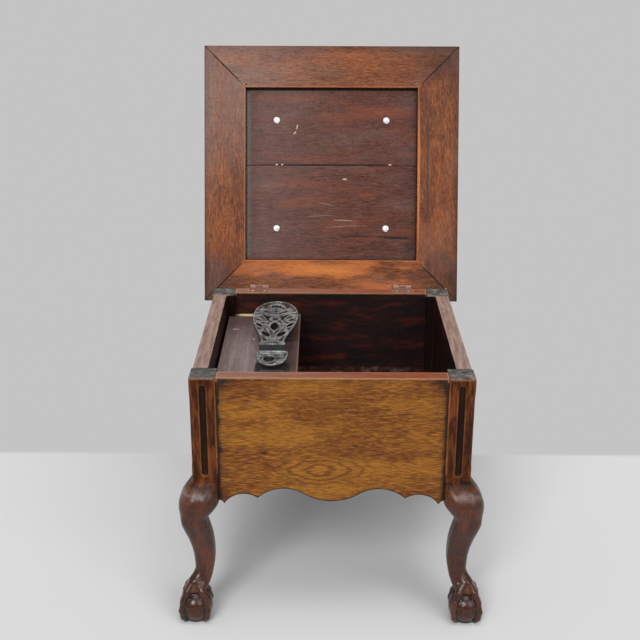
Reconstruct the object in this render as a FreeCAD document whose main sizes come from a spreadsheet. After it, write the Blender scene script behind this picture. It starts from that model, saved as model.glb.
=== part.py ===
"""A shoe shine footstool: a scalloped box on cabriole legs, a shoe rest inside it and a hinged, padded lid."""
import FreeCAD, Part
import math
import os
import Sketcher

Vector = FreeCAD.Vector
Rotation = FreeCAD.Rotation
Placement = FreeCAD.Placement
UP = Vector(0, 0, 1)
ACROSS = Vector(1, 0, 0)
NEAR = 1e-6

# Driving sizes in millimetres and degrees. Depths under the rim are measured down from the tops of the posts.
SIZES = {
    # The box: across the post faces, from the floor to the rim, and its plan centre in front of the origin
    "box_width": 406.0,
    "box_depth": 390.0,
    "rim_height": 396.0,
    "plan_shift": 78.0,
    "post_side": 38.0,
    "post_foot": 199.0,
    # The sides between the posts and their tenons
    "rail_setback": 2.5,
    "rail_thick": 22.0,
    "tenon_thick": 8.0,
    "tenon_length": 14.0,
    "tenon_top": 14.0,
    "tenon_deep": 178.0,
    "fit_gap": 0.15,
    # The scalloped lower edge: depths under the rim, spans and radii of its curves
    "apron_end": 196.0,
    "apron_cusp": 202.4,
    "cusp_inset": 7.0,
    "return_radius": 7.5,
    "small_arch_span": 49.5,
    "small_arch_radius": 34.0,
    "inner_cusp": 192.5,
    "big_arch_radius": 55.0,
    "drop_half": 40.0,
    "drop_shoulder": 185.8,
    "drop_radius": 74.8,
    # Flutes and the stopped chamfer of each post
    "flute_radius": 5.1,
    "flute_rise": 1.1,
    "flute_top": 11.0,
    "flute_bottom": 155.0,
    "chamfer_side": 4.5,
    "chamfer_top": 18.0,
    "chamfer_bottom": 146.0,
    # Cabriole leg: height, diagonal offset from the post axis, half side and corner radius of each section
    "shoulder_height": 226.0,
    "shoulder_offset": 0.2,
    "shoulder_half": 18.6,
    "shoulder_round": 2.5,
    "brow_height": 211.0,
    "brow_offset": 4.6,
    "brow_half": 23.0,
    "brow_round": 8.0,
    "crest_height": 194.0,
    "crest_offset": 12.5,
    "crest_half": 26.0,
    "crest_round": 11.0,
    "calf_height": 168.0,
    "calf_offset": 17.1,
    "calf_half": 19.8,
    "calf_round": 10.0,
    "shank_height": 130.0,
    "shank_offset": 9.9,
    "shank_half": 16.9,
    "shank_round": 8.5,
    "ankle_height": 92.0,
    "ankle_offset": 7.2,
    "ankle_half": 13.3,
    "ankle_round": 8.5,
    "instep_height": 68.0,
    "instep_offset": 9.6,
    "instep_half": 12.6,
    "instep_round": 8.5,
    "sole_top_height": 40.0,
    "sole_top_offset": 17.5,
    "sole_top_half": 13.0,
    "sole_top_round": 8.0,
    # Ball and claws: reach out from the ball's axis, height and radius along each claw
    "foot_offset": 20.8,
    "ball_radius": 23.5,
    "ball_height": 21.5,
    "claw_root_reach": 1.0,
    "claw_root_height": 66.0,
    "claw_root_radius": 6.5,
    "claw_knuckle_reach": 14.5,
    "claw_knuckle_height": 47.0,
    "claw_knuckle_radius": 7.6,
    "claw_grip_reach": 22.5,
    "claw_grip_height": 35.0,
    "claw_grip_radius": 6.0,
    "claw_joint_reach": 26.5,
    "claw_joint_height": 21.5,
    "claw_joint_radius": 7.0,
    "claw_nail_reach": 25.5,
    "claw_nail_height": 12.0,
    "claw_nail_radius": 5.0,
    "claw_tip_reach": 21.5,
    "claw_tip_height": 6.0,
    "claw_tip_radius": 3.2,
    # Bottom boards and their cleats
    "floor_drop": 136.0,
    "floor_thick": 10.0,
    "board_gap": 0.4,
    "cleat_side": 16.0,
    # Shelf of the shoe rest and its cleats
    "shelf_drop": 38.5,
    "shelf_thick": 10.0,
    "shelf_left_gap": 4.0,
    "shelf_width": 122.5,
    "shelf_cleat_side": 14.0,
    # Shoe rest: its centre line, plate heights over the shelf and the outline of sole and heel
    "rest_x": -91.0,
    "rest_plate": 5.0,
    "rest_rim": 3.0,
    "rest_sink": 1.5,
    "sole_rise": 33.5,
    "heel_rise": 21.5,
    "breast_y": -50.0,
    "breast_half": 20.3,
    "breast_wall": 5.0,
    "waist_y": -20.0,
    "waist_half": 18.8,
    "tread_y": 30.0,
    "tread_half": 33.0,
    "tread_radius": 98.0,
    "toe_side_y": 112.0,
    "toe_side_half": 28.5,
    "toe_end_y": 143.0,
    "heel_half": 24.3,
    "heel_side_y": -78.0,
    "heel_end_y": -104.0,
    "leaf_pairs": 4,
    "leaf_first_y": 2.0,
    "leaf_pitch": 25.0,
    "leaf_stem": 3.2,
    "leaf_length": 24.0,
    "leaf_slant": 40.0,
    "leaf_radius": 17.0,
    "heel_leaf_half": 15.0,
    "heel_leaf_y": -76.0,
    "heel_leaf_radius": 19.0,
    "rest_post_half": 18.0,
    "rest_post_deep": 30.0,
    "rest_post_y": -74.0,
    "toe_post_y": 62.0,
    "rest_flange": 4.0,
    "rest_flange_half": 26.0,
    "rest_flange_deep": 38.0,
    # Lid: frame, recessed boards, and how far it reaches behind the hinge line
    "lid_side": 442.0,
    "lid_thick": 22.0,
    "lid_frame_width": 71.5,
    "lid_back": 25.0,
    "lid_edge_round": 3.0,
    "lid_board_thick": 12.0,
    "lid_joint": 211.5,
    "tongue_thick": 5.0,
    "tongue_length": 6.0,
    "tongue_under": 4.0,
    "lid_clearance": 0.3,
    "open_angle": 107.85,
    # Padded seat on the lid
    "pad_side": 380.0,
    "pad_base_thick": 9.0,
    "pad_corner": 14.0,
    "pad_foot_half": 186.0,
    "pad_belly_half": 193.0,
    "pad_belly_rise": 14.0,
    "pad_crown_rise": 47.0,
    "pad_crown_power": 2.7,
    "pad_round": 32.0,
    "pad_drawn_in": 5.0,
    # Butt hinges
    "hinge_inset": 78.3,
    "hinge_offset": 8.0,
    "hinge_length": 33.0,
    "leaf_thick": 1.6,
    "box_leaf_width": 29.0,
    "lid_leaf_width": 20.0,
    "knuckle_radius": 3.2,
    "knuckle_share": 11.0,
    "knuckle_gap": 0.3,
    "barrel_room": 0.5,
    "pin_radius": 1.5,
    "pin_play": 0.05,
    # Pan-head screws through the lid into the padded seat
    "pan_head": 5.0,
    "pan_crown": 3.4,
    "pan_height": 3.0,
    "pan_shank": 2.2,
    "pan_length": 18.0,
    "pan_x": 95.5,
    "pan_y": 94.0,
}

doc = FreeCAD.newDocument("footstool")
sizes = doc.addObject("Spreadsheet::Sheet", "sizes")
for row, (alias, number) in enumerate(SIZES.items(), start=1):
    sizes.set("A%d" % row, alias)
    sizes.set("B%d" % row, str(number))
    sizes.setAlias("B%d" % row, alias)
doc.recompute()

# Places that several pieces share, as expressions on the sheet
MID_Y = "(-sizes.plan_shift)"
RIM = "sizes.rim_height"
POST_X = "(sizes.box_width / 2 - sizes.post_side / 2)"
POST_Y = "(sizes.box_depth / 2 - sizes.post_side / 2)"
CLEAR_X = "(sizes.box_width / 2 - sizes.post_side - sizes.fit_gap)"
CLEAR_Y = "(sizes.box_depth / 2 - sizes.post_side - sizes.fit_gap)"
WALL_X = "(sizes.box_width / 2 - sizes.rail_setback - sizes.rail_thick)"
WALL_Y = "(sizes.box_depth / 2 - sizes.rail_setback - sizes.rail_thick)"
TENON_INSET = "((sizes.rail_thick - sizes.tenon_thick) / 2)"
FLOOR_TOP = "(sizes.rim_height - sizes.floor_drop)"
SHELF_TOP = "(sizes.rim_height - sizes.shelf_drop)"
SHELF_LEFT = f"(-{WALL_X} + sizes.shelf_left_gap)"
HINGE_X = "(sizes.box_width / 2 - sizes.hinge_inset)"
HINGE_Y = "(sizes.box_depth / 2 + sizes.hinge_offset - sizes.plan_shift)"
HINGE_Z = "(sizes.rim_height + sizes.lid_clearance)"
LID_MID = "(sizes.lid_back - sizes.lid_side / 2)"
LID_INNER = "(sizes.lid_side / 2 - sizes.lid_frame_width)"
BOARD_UNDER = "(sizes.lid_thick - sizes.lid_board_thick)"
TONGUE_LOW = f"({BOARD_UNDER} + sizes.tongue_under)"
GAP = "sizes.fit_gap"


def value(text):
    """The present value of an expression on the sheet."""
    return float(sizes.evalExpression(text))


def size(alias):
    """One driving size, for the shapes that are worked out here."""
    return float(sizes.get(alias))


def at(item, x="0", y="0", z="0"):
    """Bind an object's place to the sheet."""
    for axis, text in zip("xyz", (x, y, z)):
        item.setExpression("Placement.Base." + axis, text)
    return item


def turned(item, degrees, axis=UP):
    """Turn an object about its own origin."""
    item.Placement = Placement(item.Placement.Base, Rotation(axis, degrees))
    return item


def on_lid(item):
    """Hang a piece that was made on the closed lid on the open one, about the hinge line."""
    item.Placement = Placement(Vector(), Rotation(-ACROSS, 0))
    item.setExpression("Placement.Rotation.Angle", "sizes.open_angle")
    return at(item, "0", HINGE_Y, HINGE_Z)


def block(name, x, y, z):
    """A square-cut block between two places on each axis."""
    item = doc.addObject("Part::Box", name)
    for side, (low, high) in zip(("Length", "Width", "Height"), (x, y, z)):
        item.setExpression(side, f"({high}) - ({low})")
    return at(item, x[0], y[0], z[0])


def rod(name, radius, length, x, y, z, axis=UP):
    """A round rod from a place along an axis."""
    item = doc.addObject("Part::Cylinder", name)
    item.setExpression("Radius", radius)
    item.setExpression("Height", length)
    item.Placement = Placement(Vector(), Rotation(UP, axis))
    return at(item, x, y, z)


def fused(name, pieces):
    item = doc.addObject("Part::MultiFuse", name)
    item.Shapes = pieces
    return item


def together(name, pieces):
    item = doc.addObject("Part::Compound", name)
    item.Links = pieces
    return item


def cut(name, base, tools):
    """The base less every tool."""
    item = doc.addObject("Part::Cut", name)
    item.Base = base
    item.Tool = tools[0] if len(tools) == 1 else together(name + "_tools", tools)
    return item


def shaped(name, shape):
    item = doc.addObject("Part::Feature", name)
    item.Shape = shape
    return item


def sketch_on(body, role, name, offset=None):
    """A sketch on one of the body's own planes, lifted off it by an expression."""
    sketch = body.newObject("Sketcher::SketchObject", name)
    plane = next(item for item in body.Origin.OriginFeatures if item.Role == role)
    sketch.AttachmentSupport = [(plane, "")]
    sketch.MapMode = "FlatFace"
    if offset:
        sketch.setExpression("AttachmentOffset.Base.z", offset)
    return sketch


def hold(sketch, constraint, text):
    """Add a constraint whose value follows the sheet."""
    index = sketch.addConstraint(constraint)
    sketch.setExpression("Constraints[%d]" % index, text)


def draw(sketch, corners):
    """Draw a closed outline. A corner is (x, y), or (x, y, radius, side) where an arc leads to the next one,
    bulging to the left of the way there for side 1 and to the right for side -1."""
    spots = [Vector(value(corner[0]), value(corner[1]), 0) for corner in corners]
    pieces = []
    for index, corner in enumerate(corners):
        start = spots[index]
        end = spots[(index + 1) % len(spots)]
        if len(corner) == 2:
            pieces.append((sketch.addGeometry(Part.LineSegment(start, end)), 1, 2))
            continue
        radius = value(corner[2])
        chord = end - start
        left = Vector(-chord.y, chord.x, 0).normalize()
        rise = math.sqrt(radius ** 2 - (chord.Length / 2) ** 2)
        centre = (start + end) / 2 - left * rise * corner[3]
        first, last = (end, start) if corner[3] > 0 else (start, end)
        angles = [math.atan2(spot.y - centre.y, spot.x - centre.x) for spot in (first, last)]
        if angles[1] < angles[0]:
            angles[1] += 2 * math.pi
        arc = Part.ArcOfCircle(Part.Circle(centre, UP, radius), *angles)
        ends = (2, 1) if corner[3] > 0 else (1, 2)
        pieces.append((sketch.addGeometry(arc), *ends))
    for index, corner in enumerate(corners):
        edge, start, end = pieces[index]
        following, next_start, _ = pieces[(index + 1) % len(pieces)]
        sketch.addConstraint(Sketcher.Constraint("Coincident", edge, end, following, next_start))
        place = spots[index]
        hold(sketch, Sketcher.Constraint("DistanceX", -1, 1, edge, start, place.x), corner[0])
        hold(sketch, Sketcher.Constraint("DistanceY", -1, 1, edge, start, place.y), corner[1])
        if len(corner) > 2:
            hold(sketch, Sketcher.Constraint("Radius", edge, value(corner[2])), corner[2])


def rectangle(sketch, x, y):
    draw(sketch, [(x[0], y[0]), (x[1], y[0]), (x[1], y[1]), (x[0], y[1])])


def pad(body, sketch, length, name):
    feature = body.newObject("PartDesign::Pad", name)
    feature.Profile = sketch
    feature.setExpression("Length", length)
    return feature


def pocket(body, sketch, length, name):
    feature = body.newObject("PartDesign::Pocket", name)
    feature.Profile = sketch
    feature.setExpression("Length", length)
    return feature


def named(item, label):
    """Name a finished sub-part and list it for export."""
    item.Label = label
    SUBPARTS.append(item)
    return item


SUBPARTS = []


# Legs

SECTIONS = ("shoulder", "brow", "crest", "calf", "shank", "ankle", "instep", "sole_top")
CLAW_JOINTS = ("knuckle", "grip", "joint", "nail", "tip")
CLAW_TURNS = (45, 135, 225, 315)
LEG_STEPS = 2
CORNER_CHORDS = 4
CLAW_STEPS = 2
CLAW_FLATS = 8
BALL_BANDS = 6
BALL_FLATS = 16
PAN_FLATS = 16
SHANK_FLATS = 8


def through(points, steps):
    """Places on a smooth curve through some points, a few to each span."""
    curve = Part.BSplineCurve()
    curve.interpolate(Points=points, Parameters=[float(index) for index in range(len(points))])
    last = (len(points) - 1) * steps
    return [curve.value(index / steps) for index in range(last + 1)]


def rounded_square(middle, half, radius, height, drawn_in=0, side_chords=1):
    """A level square outline about a place on the plan, with round corners and straight or drawn-in sides."""
    base = Vector(middle.x, middle.y, height)
    flat = half - radius
    spots = []
    for quarter in range(4):
        turn = Rotation(UP, 90 * quarter)
        for step in range(CORNER_CHORDS):
            angle = math.radians(90 * step / CORNER_CHORDS)
            corner = Vector(flat + radius * math.cos(angle), flat + radius * math.sin(angle))
            spots.append(base + turn.multVec(corner))
        for step in range(side_chords):
            along = 1 - 2 * step / side_chords
            spots.append(base + turn.multVec(Vector(flat * along, half - drawn_in * (1 - along ** 2))))
    return Part.makePolygon(spots + spots[:1])


def ring(middle, radius, side, rise, count):
    """A regular outline about a place, in the plane of two directions."""
    spots = []
    for index in range(count):
        angle = 2 * math.pi * index / count
        spots.append(middle + side * (radius * math.cos(angle)) + rise * (radius * math.sin(angle)))
    return Part.makePolygon(spots + spots[:1])


def carved(outlines):
    """A solid lofted through outlines of straight chords, each facet one plane, or two where it twists."""
    faces = []
    for facet in Part.makeLoft(outlines, True, True).Faces:
        spots = [corner.Point for corner in facet.OuterWire.OrderedVertexes]
        flats = [spots] if facet.findPlane() else [spots[:3], spots[2:] + spots[:1]]
        faces.extend(Part.Face(Part.makePolygon(flat + flat[:1])) for flat in flats)
    shell = Part.Shell(faces)
    shell.sewShape()
    return Part.Solid(shell)


def cabriole():
    """The S-curved leg: rounded squares that swing out to the knee, in to the ankle and out to the foot."""
    places = []
    corners = []
    for name in SECTIONS:
        height = size(name + "_height")
        places.append(Vector(size(name + "_offset"), size(name + "_half"), height))
        corners.append(Vector(size(name + "_round"), 0, height))
    outlines = []
    for place, corner in zip(through(places, LEG_STEPS), through(corners, LEG_STEPS)):
        outlines.append(rounded_square(Vector(place.x, place.x), place.y, corner.x, place.z))
    return carved(outlines)


def claw(turn):
    """One talon: from the ankle over its knuckle and down round the ball to the nail, carved in flats."""
    way = Rotation(UP, turn).multVec(ACROSS)
    side = UP.cross(way)
    ankle = Vector(size("instep_offset"), size("instep_offset"))
    ball = Vector(size("foot_offset"), size("foot_offset"))
    spots = [ankle + way * size("claw_root_reach") + UP * size("claw_root_height")]
    radii = [Vector(size("claw_root_radius"), 0, size("claw_root_height"))]
    for joint in CLAW_JOINTS:
        spots.append(ball + way * size(f"claw_{joint}_reach") + UP * size(f"claw_{joint}_height"))
        radii.append(Vector(size(f"claw_{joint}_radius"), 0, size(f"claw_{joint}_height")))
    line = through(spots, CLAW_STEPS)
    rings = []
    for index, (spot, radius) in enumerate(zip(line, through(radii, CLAW_STEPS))):
        along = line[min(index + 1, len(line) - 1)] - line[max(index - 1, 0)]
        rings.append(ring(spot, radius.x, side, side.cross(along).normalize(), CLAW_FLATS))
    return carved(rings)


def turned_form(middle, levels, count):
    """A round form about an upright line, carved in flats, through (height, radius) levels."""
    rings = [ring(middle + UP * height, radius, ACROSS, UP.cross(ACROSS), count) for height, radius in levels]
    return carved(rings)


def ball_in_claws():
    """The ball that the claws hold, with a flat sole on the floor."""
    radius = size("ball_radius")
    middle = Vector(size("foot_offset"), size("foot_offset"))
    sole = -math.asin(size("ball_height") / radius)
    levels = []
    for step in range(BALL_BANDS + 1):
        latitude = sole * (1 - 2 * step / BALL_BANDS)
        levels.append((size("ball_height") + radius * math.sin(latitude), radius * math.cos(latitude)))
    return turned_form(middle, levels, BALL_FLATS)


def flute(name, turn):
    """A stopped flute down the middle of one outer face, round in section."""
    low = f"({RIM} - sizes.flute_bottom)"
    high = f"({RIM} - sizes.flute_top)"
    out = "(sizes.post_side / 2 + sizes.flute_rise)"
    x, y = (out, "0") if turn == 0 else ("0", out)
    return rod(name, "sizes.flute_radius", f"{high} - {low}", x, y, low)


def corner_chamfer():
    """What the stopped chamfer takes off the post's outer corner, with ends that run out at a slope."""
    reach = size("post_side") / math.sqrt(2)
    inside = reach - size("chamfer_side") / math.sqrt(2)
    outside = reach + size("chamfer_side")
    slope = 2 * (outside - inside)
    low = size("rim_height") - size("chamfer_bottom")
    high = size("rim_height") - size("chamfer_top")
    way = Rotation(UP, 45).multVec(ACROSS)
    side = Rotation(UP, 45).multVec(Vector(0, 1, 0)) * size("post_side") / 2
    corners = [(inside, low), (inside, high), (outside, high + slope), (outside, low - slope)]
    spots = [way * distance + UP * height - side for distance, height in corners]
    return Part.Face(Part.makePolygon(spots + spots[:1])).extrude(side * 2)


def mortises(name):
    """The two mortises on the inner faces that take the tenons of the neighbouring sides."""
    inner = ("-sizes.post_side / 2", "-sizes.post_side / 2 + sizes.tenon_length + 2 * sizes.fit_gap")
    wall = f"(sizes.post_side / 2 - sizes.rail_setback - {TENON_INSET})"
    across = (f"{wall} - sizes.tenon_thick - sizes.fit_gap", f"{wall} + sizes.fit_gap")
    tall = (f"{RIM} - sizes.tenon_deep - sizes.fit_gap", f"{RIM} - sizes.tenon_top + sizes.fit_gap")
    return [block(name + "_one", inner, across, tall), block(name + "_two", across, inner, tall)]


def leg(label, turn, x, y):
    """A corner post, its cabriole leg and its ball-and-claw foot, made about the post's own axis."""
    half = "sizes.post_side / 2"
    post = block(label + "_post", (f"-{half}", half), (f"-{half}", half), ("sizes.post_foot", RIM))
    shank = shaped(label + "_shank", cabriole())
    ball = shaped(label + "_ball", ball_in_claws())
    claws = [shaped(f"{label}_claw_{angle}", claw(angle)) for angle in CLAW_TURNS]
    carved = fused(label + "_carved", [post, shank, ball] + claws)
    flutes = [flute(label + "_flute_one", 0), flute(label + "_flute_two", 90)]
    chamfer = shaped(label + "_chamfer", corner_chamfer())
    tools = [chamfer] + flutes + mortises(label + "_mortise")
    item = turned(cut(label + "_cut", carved, tools), turn)
    named(at(item, x, y), label)


leg("back_right_leg", 0, POST_X, f"{MID_Y} + {POST_Y}")
leg("back_left_leg", 90, f"-{POST_X}", f"{MID_Y} + {POST_Y}")
leg("front_left_leg", 180, f"-{POST_X}", f"{MID_Y} - {POST_Y}")
leg("front_right_leg", 270, POST_X, f"{MID_Y} - {POST_Y}")


# Box sides

def scallop(half):
    """The outline of one side between the posts, seen from outside, with its rim along the top."""
    cusp = f"({half} - sizes.cusp_inset)"
    inner = f"({cusp} - sizes.small_arch_span)"
    right = [
        (half, "0"),
        (half, "-sizes.apron_end", "sizes.return_radius", -1),
        (cusp, "-sizes.apron_cusp", "sizes.small_arch_radius", -1),
        (inner, "-sizes.inner_cusp", "sizes.big_arch_radius", -1),
        ("sizes.drop_half", "-sizes.drop_shoulder", "sizes.drop_radius", 1),
    ]
    left = [
        ("-sizes.drop_half", "-sizes.drop_shoulder", "sizes.big_arch_radius", -1),
        (f"-{inner}", "-sizes.inner_cusp", "sizes.small_arch_radius", -1),
        (f"-{cusp}", "-sizes.apron_cusp", "sizes.return_radius", -1),
        (f"-{half}", "-sizes.apron_end"),
        (f"-{half}", "0"),
    ]
    return right + left


def side_panel(label, half, turn, x, y):
    """One side of the box with a stub tenon along each end. Its own -Y is the outside."""
    body = doc.addObject("PartDesign::Body", label + "_body")
    outline = sketch_on(body, "XZ_Plane", label + "_outline")
    draw(outline, scallop(half))
    pad(body, outline, "sizes.rail_thick", label + "_board")
    tenon = sketch_on(body, "XZ_Plane", label + "_tenon", TENON_INSET)
    reach = f"({half} + sizes.tenon_length)"
    rectangle(tenon, (f"-{reach}", reach), ("-sizes.tenon_deep", "-sizes.tenon_top"))
    pad(body, tenon, "sizes.tenon_thick", label + "_tenons")
    return at(turned(body, turn), x, y, RIM)


named(side_panel("front_panel", CLEAR_X, 0, "0", f"{MID_Y} - {WALL_Y}"), "front_panel")
named(side_panel("left_panel", CLEAR_Y, -90, f"-{WALL_X}", MID_Y), "left_panel")
named(side_panel("right_panel", CLEAR_Y, 90, WALL_X, MID_Y), "right_panel")


# The back side is let in for the hinge leaves

def leaf_seats(name, y, z):
    """The shallow seats that take both hinge leaves flush."""
    half = "(sizes.hinge_length / 2 + sizes.fit_gap)"
    seats = []
    for index, side in enumerate(("-", "")):
        x = (f"{side}{HINGE_X} - {half}", f"{side}{HINGE_X} + {half}")
        seats.append(block(f"{name}_{index}", x, y, z))
    return seats


back_board = side_panel("back_panel", CLEAR_X, 180, "0", f"{MID_Y} + {WALL_Y}")
seat_front = f"{HINGE_Y} - sizes.box_leaf_width - sizes.fit_gap"
seat_z = (f"{RIM} - sizes.leaf_thick - {GAP}", f"{RIM} + sizes.leaf_thick")
back_seats = leaf_seats("back_seat", (seat_front, HINGE_Y), seat_z)
named(cut("back_panel_cut", back_board, back_seats), "back_panel")


# Bottom boards and shelf, each notched round the posts and carried on cleats

IN_X = f"({WALL_X} - {GAP})"
IN_Y = f"({WALL_Y} - {GAP})"
FULL_Y = (f"{MID_Y} - {IN_Y}", f"{MID_Y} + {IN_Y}")


def corner_notches(name, side, z):
    """What the two posts on one side take out of a board's corners."""
    x = (f"-{WALL_X}", f"-{CLEAR_X}") if side < 0 else (CLEAR_X, WALL_X)
    front = block(name + "_front", x, (f"{MID_Y} - {WALL_Y}", f"{MID_Y} - {CLEAR_Y}"), z)
    back = block(name + "_back", x, (f"{MID_Y} + {CLEAR_Y}", f"{MID_Y} + {WALL_Y}"), z)
    return [front, back]


def wall_cleats(name, x, top, side):
    """A pair of cleats on the front and back walls under a board."""
    z = (f"{top} - {side}", top)
    front = (f"{MID_Y} - {WALL_Y}", f"{MID_Y} - {WALL_Y} + {side}")
    back = (f"{MID_Y} + {WALL_Y} - {side}", f"{MID_Y} + {WALL_Y}")
    named(block(name + "_front_block", x, front, z), name + "_front")
    named(block(name + "_back_block", x, back, z), name + "_back")


floor_z = (f"{FLOOR_TOP} - sizes.floor_thick", FLOOR_TOP)
for side, name in ((-1, "bottom_board_left"), (1, "bottom_board_right")):
    split = "sizes.board_gap / 2"
    span = (f"-{IN_X}", f"-{split}") if side < 0 else (split, IN_X)
    board = block(name + "_blank", span, FULL_Y, floor_z)
    named(cut(name + "_cut", board, corner_notches(name + "_notch", side, floor_z)), name)
wall_cleats("bottom_cleat", (f"-{CLEAR_X}", CLEAR_X), floor_z[0], "sizes.cleat_side")

shelf_z = (f"{SHELF_TOP} - sizes.shelf_thick", SHELF_TOP)
shelf_right = f"({SHELF_LEFT} + sizes.shelf_width)"
shelf = block("rest_shelf_blank", (SHELF_LEFT, shelf_right), FULL_Y, shelf_z)
named(cut("rest_shelf_cut", shelf, corner_notches("rest_shelf_notch", -1, shelf_z)), "rest_shelf")
wall_cleats("shelf_cleat", (f"-{CLEAR_X}", shelf_right), shelf_z[0], "sizes.shelf_cleat_side")


# Shoe rest: one casting with a pierced sole, a lower heel and two flanged feet

def sole_outline(inset):
    """The sole from the heel breast to the toe, drawn in by an inset for the rim."""
    near = f"(sizes.breast_y + {inset})"
    breast = f"(sizes.breast_half - {inset})"
    waist = f"(sizes.waist_half - {inset})"
    tread = f"(sizes.tread_half - {inset})"
    toe = f"(sizes.toe_side_half - {inset})"
    rise = f"(sizes.toe_end_y - sizes.toe_side_y - {inset})"
    toe_radius = f"(({toe}) ^ 2 + ({rise}) ^ 2) / (2 * ({rise}))"
    side_radius = f"(sizes.tread_radius - {inset})"
    return [
        (f"-{breast}", near),
        (breast, near),
        (waist, "sizes.waist_y"),
        (tread, "sizes.tread_y", side_radius, -1),
        (toe, "sizes.toe_side_y", toe_radius, -1),
        (f"-{toe}", "sizes.toe_side_y", side_radius, -1),
        (f"-{tread}", "sizes.tread_y"),
        (f"-{waist}", "sizes.waist_y"),
    ]


def heel_outline(inset, back):
    """The heel from a straight edge at the back to a round front, drawn in by an inset for the rim."""
    half = f"(sizes.heel_half - {inset})"
    rise = f"(sizes.heel_side_y - sizes.heel_end_y - {inset})"
    radius = f"(({half}) ^ 2 + ({rise}) ^ 2) / (2 * ({rise}))"
    side = "sizes.heel_side_y"
    return [(half, back), (f"-{half}", back), (f"-{half}", side, radius, -1), (half, side)]


def leaf(sketch, base, tip, radius="sizes.leaf_radius"):
    """A pierced leaf between two points, pointed at both."""
    draw(sketch, [(*base, radius, 1), (*tip, radius, 1)])


def rest_foot(body, name, y):
    """A post with a flange that the screws go through."""
    flange = sketch_on(body, "XY_Plane", name + "_flange")
    half = "sizes.rest_flange_half"
    deep = "sizes.rest_flange_deep / 2"
    rectangle(flange, (f"-{half}", half), (f"{y} - {deep}", f"{y} + {deep}"))
    pad(body, flange, "sizes.rest_flange", name + "_flange_pad")
    post = sketch_on(body, "XY_Plane", name + "_post")
    half = "sizes.rest_post_half"
    deep = "sizes.rest_post_deep / 2"
    rectangle(post, (f"-{half}", half), (f"{y} - {deep}", f"{y} + {deep}"))
    return post


rest = doc.addObject("PartDesign::Body", "shoe_rest_body")
sole_under = "(sizes.sole_rise - sizes.rest_plate)"
heel_under = "(sizes.heel_rise - sizes.rest_plate)"
sole = sketch_on(rest, "XY_Plane", "sole", sole_under)
draw(sole, sole_outline("0"))
pad(rest, sole, "sizes.rest_plate", "sole_plate")
toe_post = rest_foot(rest, "toe_foot", "sizes.toe_post_y")
pad(rest, toe_post, "sizes.sole_rise - sizes.rest_sink", "toe_post")
breast = sketch_on(rest, "XY_Plane", "breast", heel_under)
rectangle(breast, ("-sizes.breast_half", "sizes.breast_half"),
          ("sizes.breast_y - sizes.breast_wall", "sizes.breast_y + sizes.breast_wall"))
pad(rest, breast, "sizes.sole_rise - sizes.heel_rise + sizes.rest_plate", "breast_wall")
heel = sketch_on(rest, "XY_Plane", "heel", heel_under)
draw(heel, heel_outline("0", "sizes.breast_y"))
pad(rest, heel, "sizes.rest_plate", "heel_plate")
heel_post = rest_foot(rest, "heel_foot", "sizes.rest_post_y")
pad(rest, heel_post, "sizes.heel_rise - sizes.rest_plate", "heel_post")
sole_sink = sketch_on(rest, "XY_Plane", "sole_sink", "sizes.sole_rise")
draw(sole_sink, sole_outline("sizes.rest_rim"))
pocket(rest, sole_sink, "sizes.rest_sink", "sole_hollow")
heel_sink = sketch_on(rest, "XY_Plane", "heel_sink", "sizes.heel_rise")
draw(heel_sink, heel_outline("sizes.rest_rim", "sizes.breast_y - sizes.breast_wall - sizes.rest_rim"))
pocket(rest, heel_sink, "sizes.rest_sink", "heel_hollow")
heel_leaf = sketch_on(rest, "XY_Plane", "heel_leaf", "sizes.heel_rise")
leaf(heel_leaf, ("-sizes.heel_leaf_half", "sizes.heel_leaf_y"), ("sizes.heel_leaf_half", "sizes.heel_leaf_y"),
     "sizes.heel_leaf_radius")
pocket(rest, heel_leaf, "sizes.rest_plate", "heel_opening")
leaves = sketch_on(rest, "XY_Plane", "leaves", "sizes.sole_rise")
for pair in range(int(size("leaf_pairs"))):
    start = f"(sizes.leaf_first_y + {pair} * sizes.leaf_pitch)"
    run = "(sizes.leaf_length * sin(sizes.leaf_slant))"
    climb = "(sizes.leaf_length * cos(sizes.leaf_slant))"
    leaf(leaves, ("sizes.leaf_stem", start), (f"sizes.leaf_stem + {run}", f"{start} + {climb}"))
    leaf(leaves, ("-sizes.leaf_stem", start), (f"-sizes.leaf_stem - {run}", f"{start} + {climb}"))
pocket(rest, leaves, "sizes.rest_plate", "leaf_openings")
at(rest, "sizes.rest_x", MID_Y, SHELF_TOP)
named(rest, "shoe_rest")


# Lid, made closed about the hinge line and then swung open

def lid_member(label, turn):
    """One mitred member of the lid frame about the lid's centre. Its own -Y is the outer edge."""
    body = doc.addObject("PartDesign::Body", label + "_body")
    outline = sketch_on(body, "XY_Plane", label + "_outline")
    outer = "sizes.lid_side / 2"
    draw(outline, [(f"-{outer}", f"-{outer}"), (outer, f"-{outer}"), (LID_INNER, f"-{LID_INNER}"),
                   (f"-{LID_INNER}", f"-{LID_INNER}")])
    board = pad(body, outline, "sizes.lid_thick", label + "_board")
    doc.recompute()
    rim_edges = []
    for index, edge in enumerate(board.Shape.Edges, start=1):
        if all(abs(end.Y + value(outer)) < NEAR for end in edge.Vertexes) and edge.BoundBox.ZLength < NEAR:
            rim_edges.append("Edge%d" % index)
    rounding = body.newObject("PartDesign::Fillet", label + "_rounding")
    rounding.Base = (board, rim_edges)
    rounding.setExpression("Radius", "sizes.lid_edge_round")
    at(turned(body, turn), "0", LID_MID, "0")
    return body


def tongue_grooves(name):
    """The groove that runs round inside the lid frame for the tongues of its boards."""
    reach = f"({LID_INNER} + sizes.tongue_length + sizes.fit_gap)"
    z = (f"{TONGUE_LOW} - {GAP}", f"{TONGUE_LOW} + sizes.tongue_thick + {GAP}")
    return block(name, (f"-{reach}", reach), (f"{LID_MID} - {reach}", f"{LID_MID} + {reach}"), z)


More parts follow.
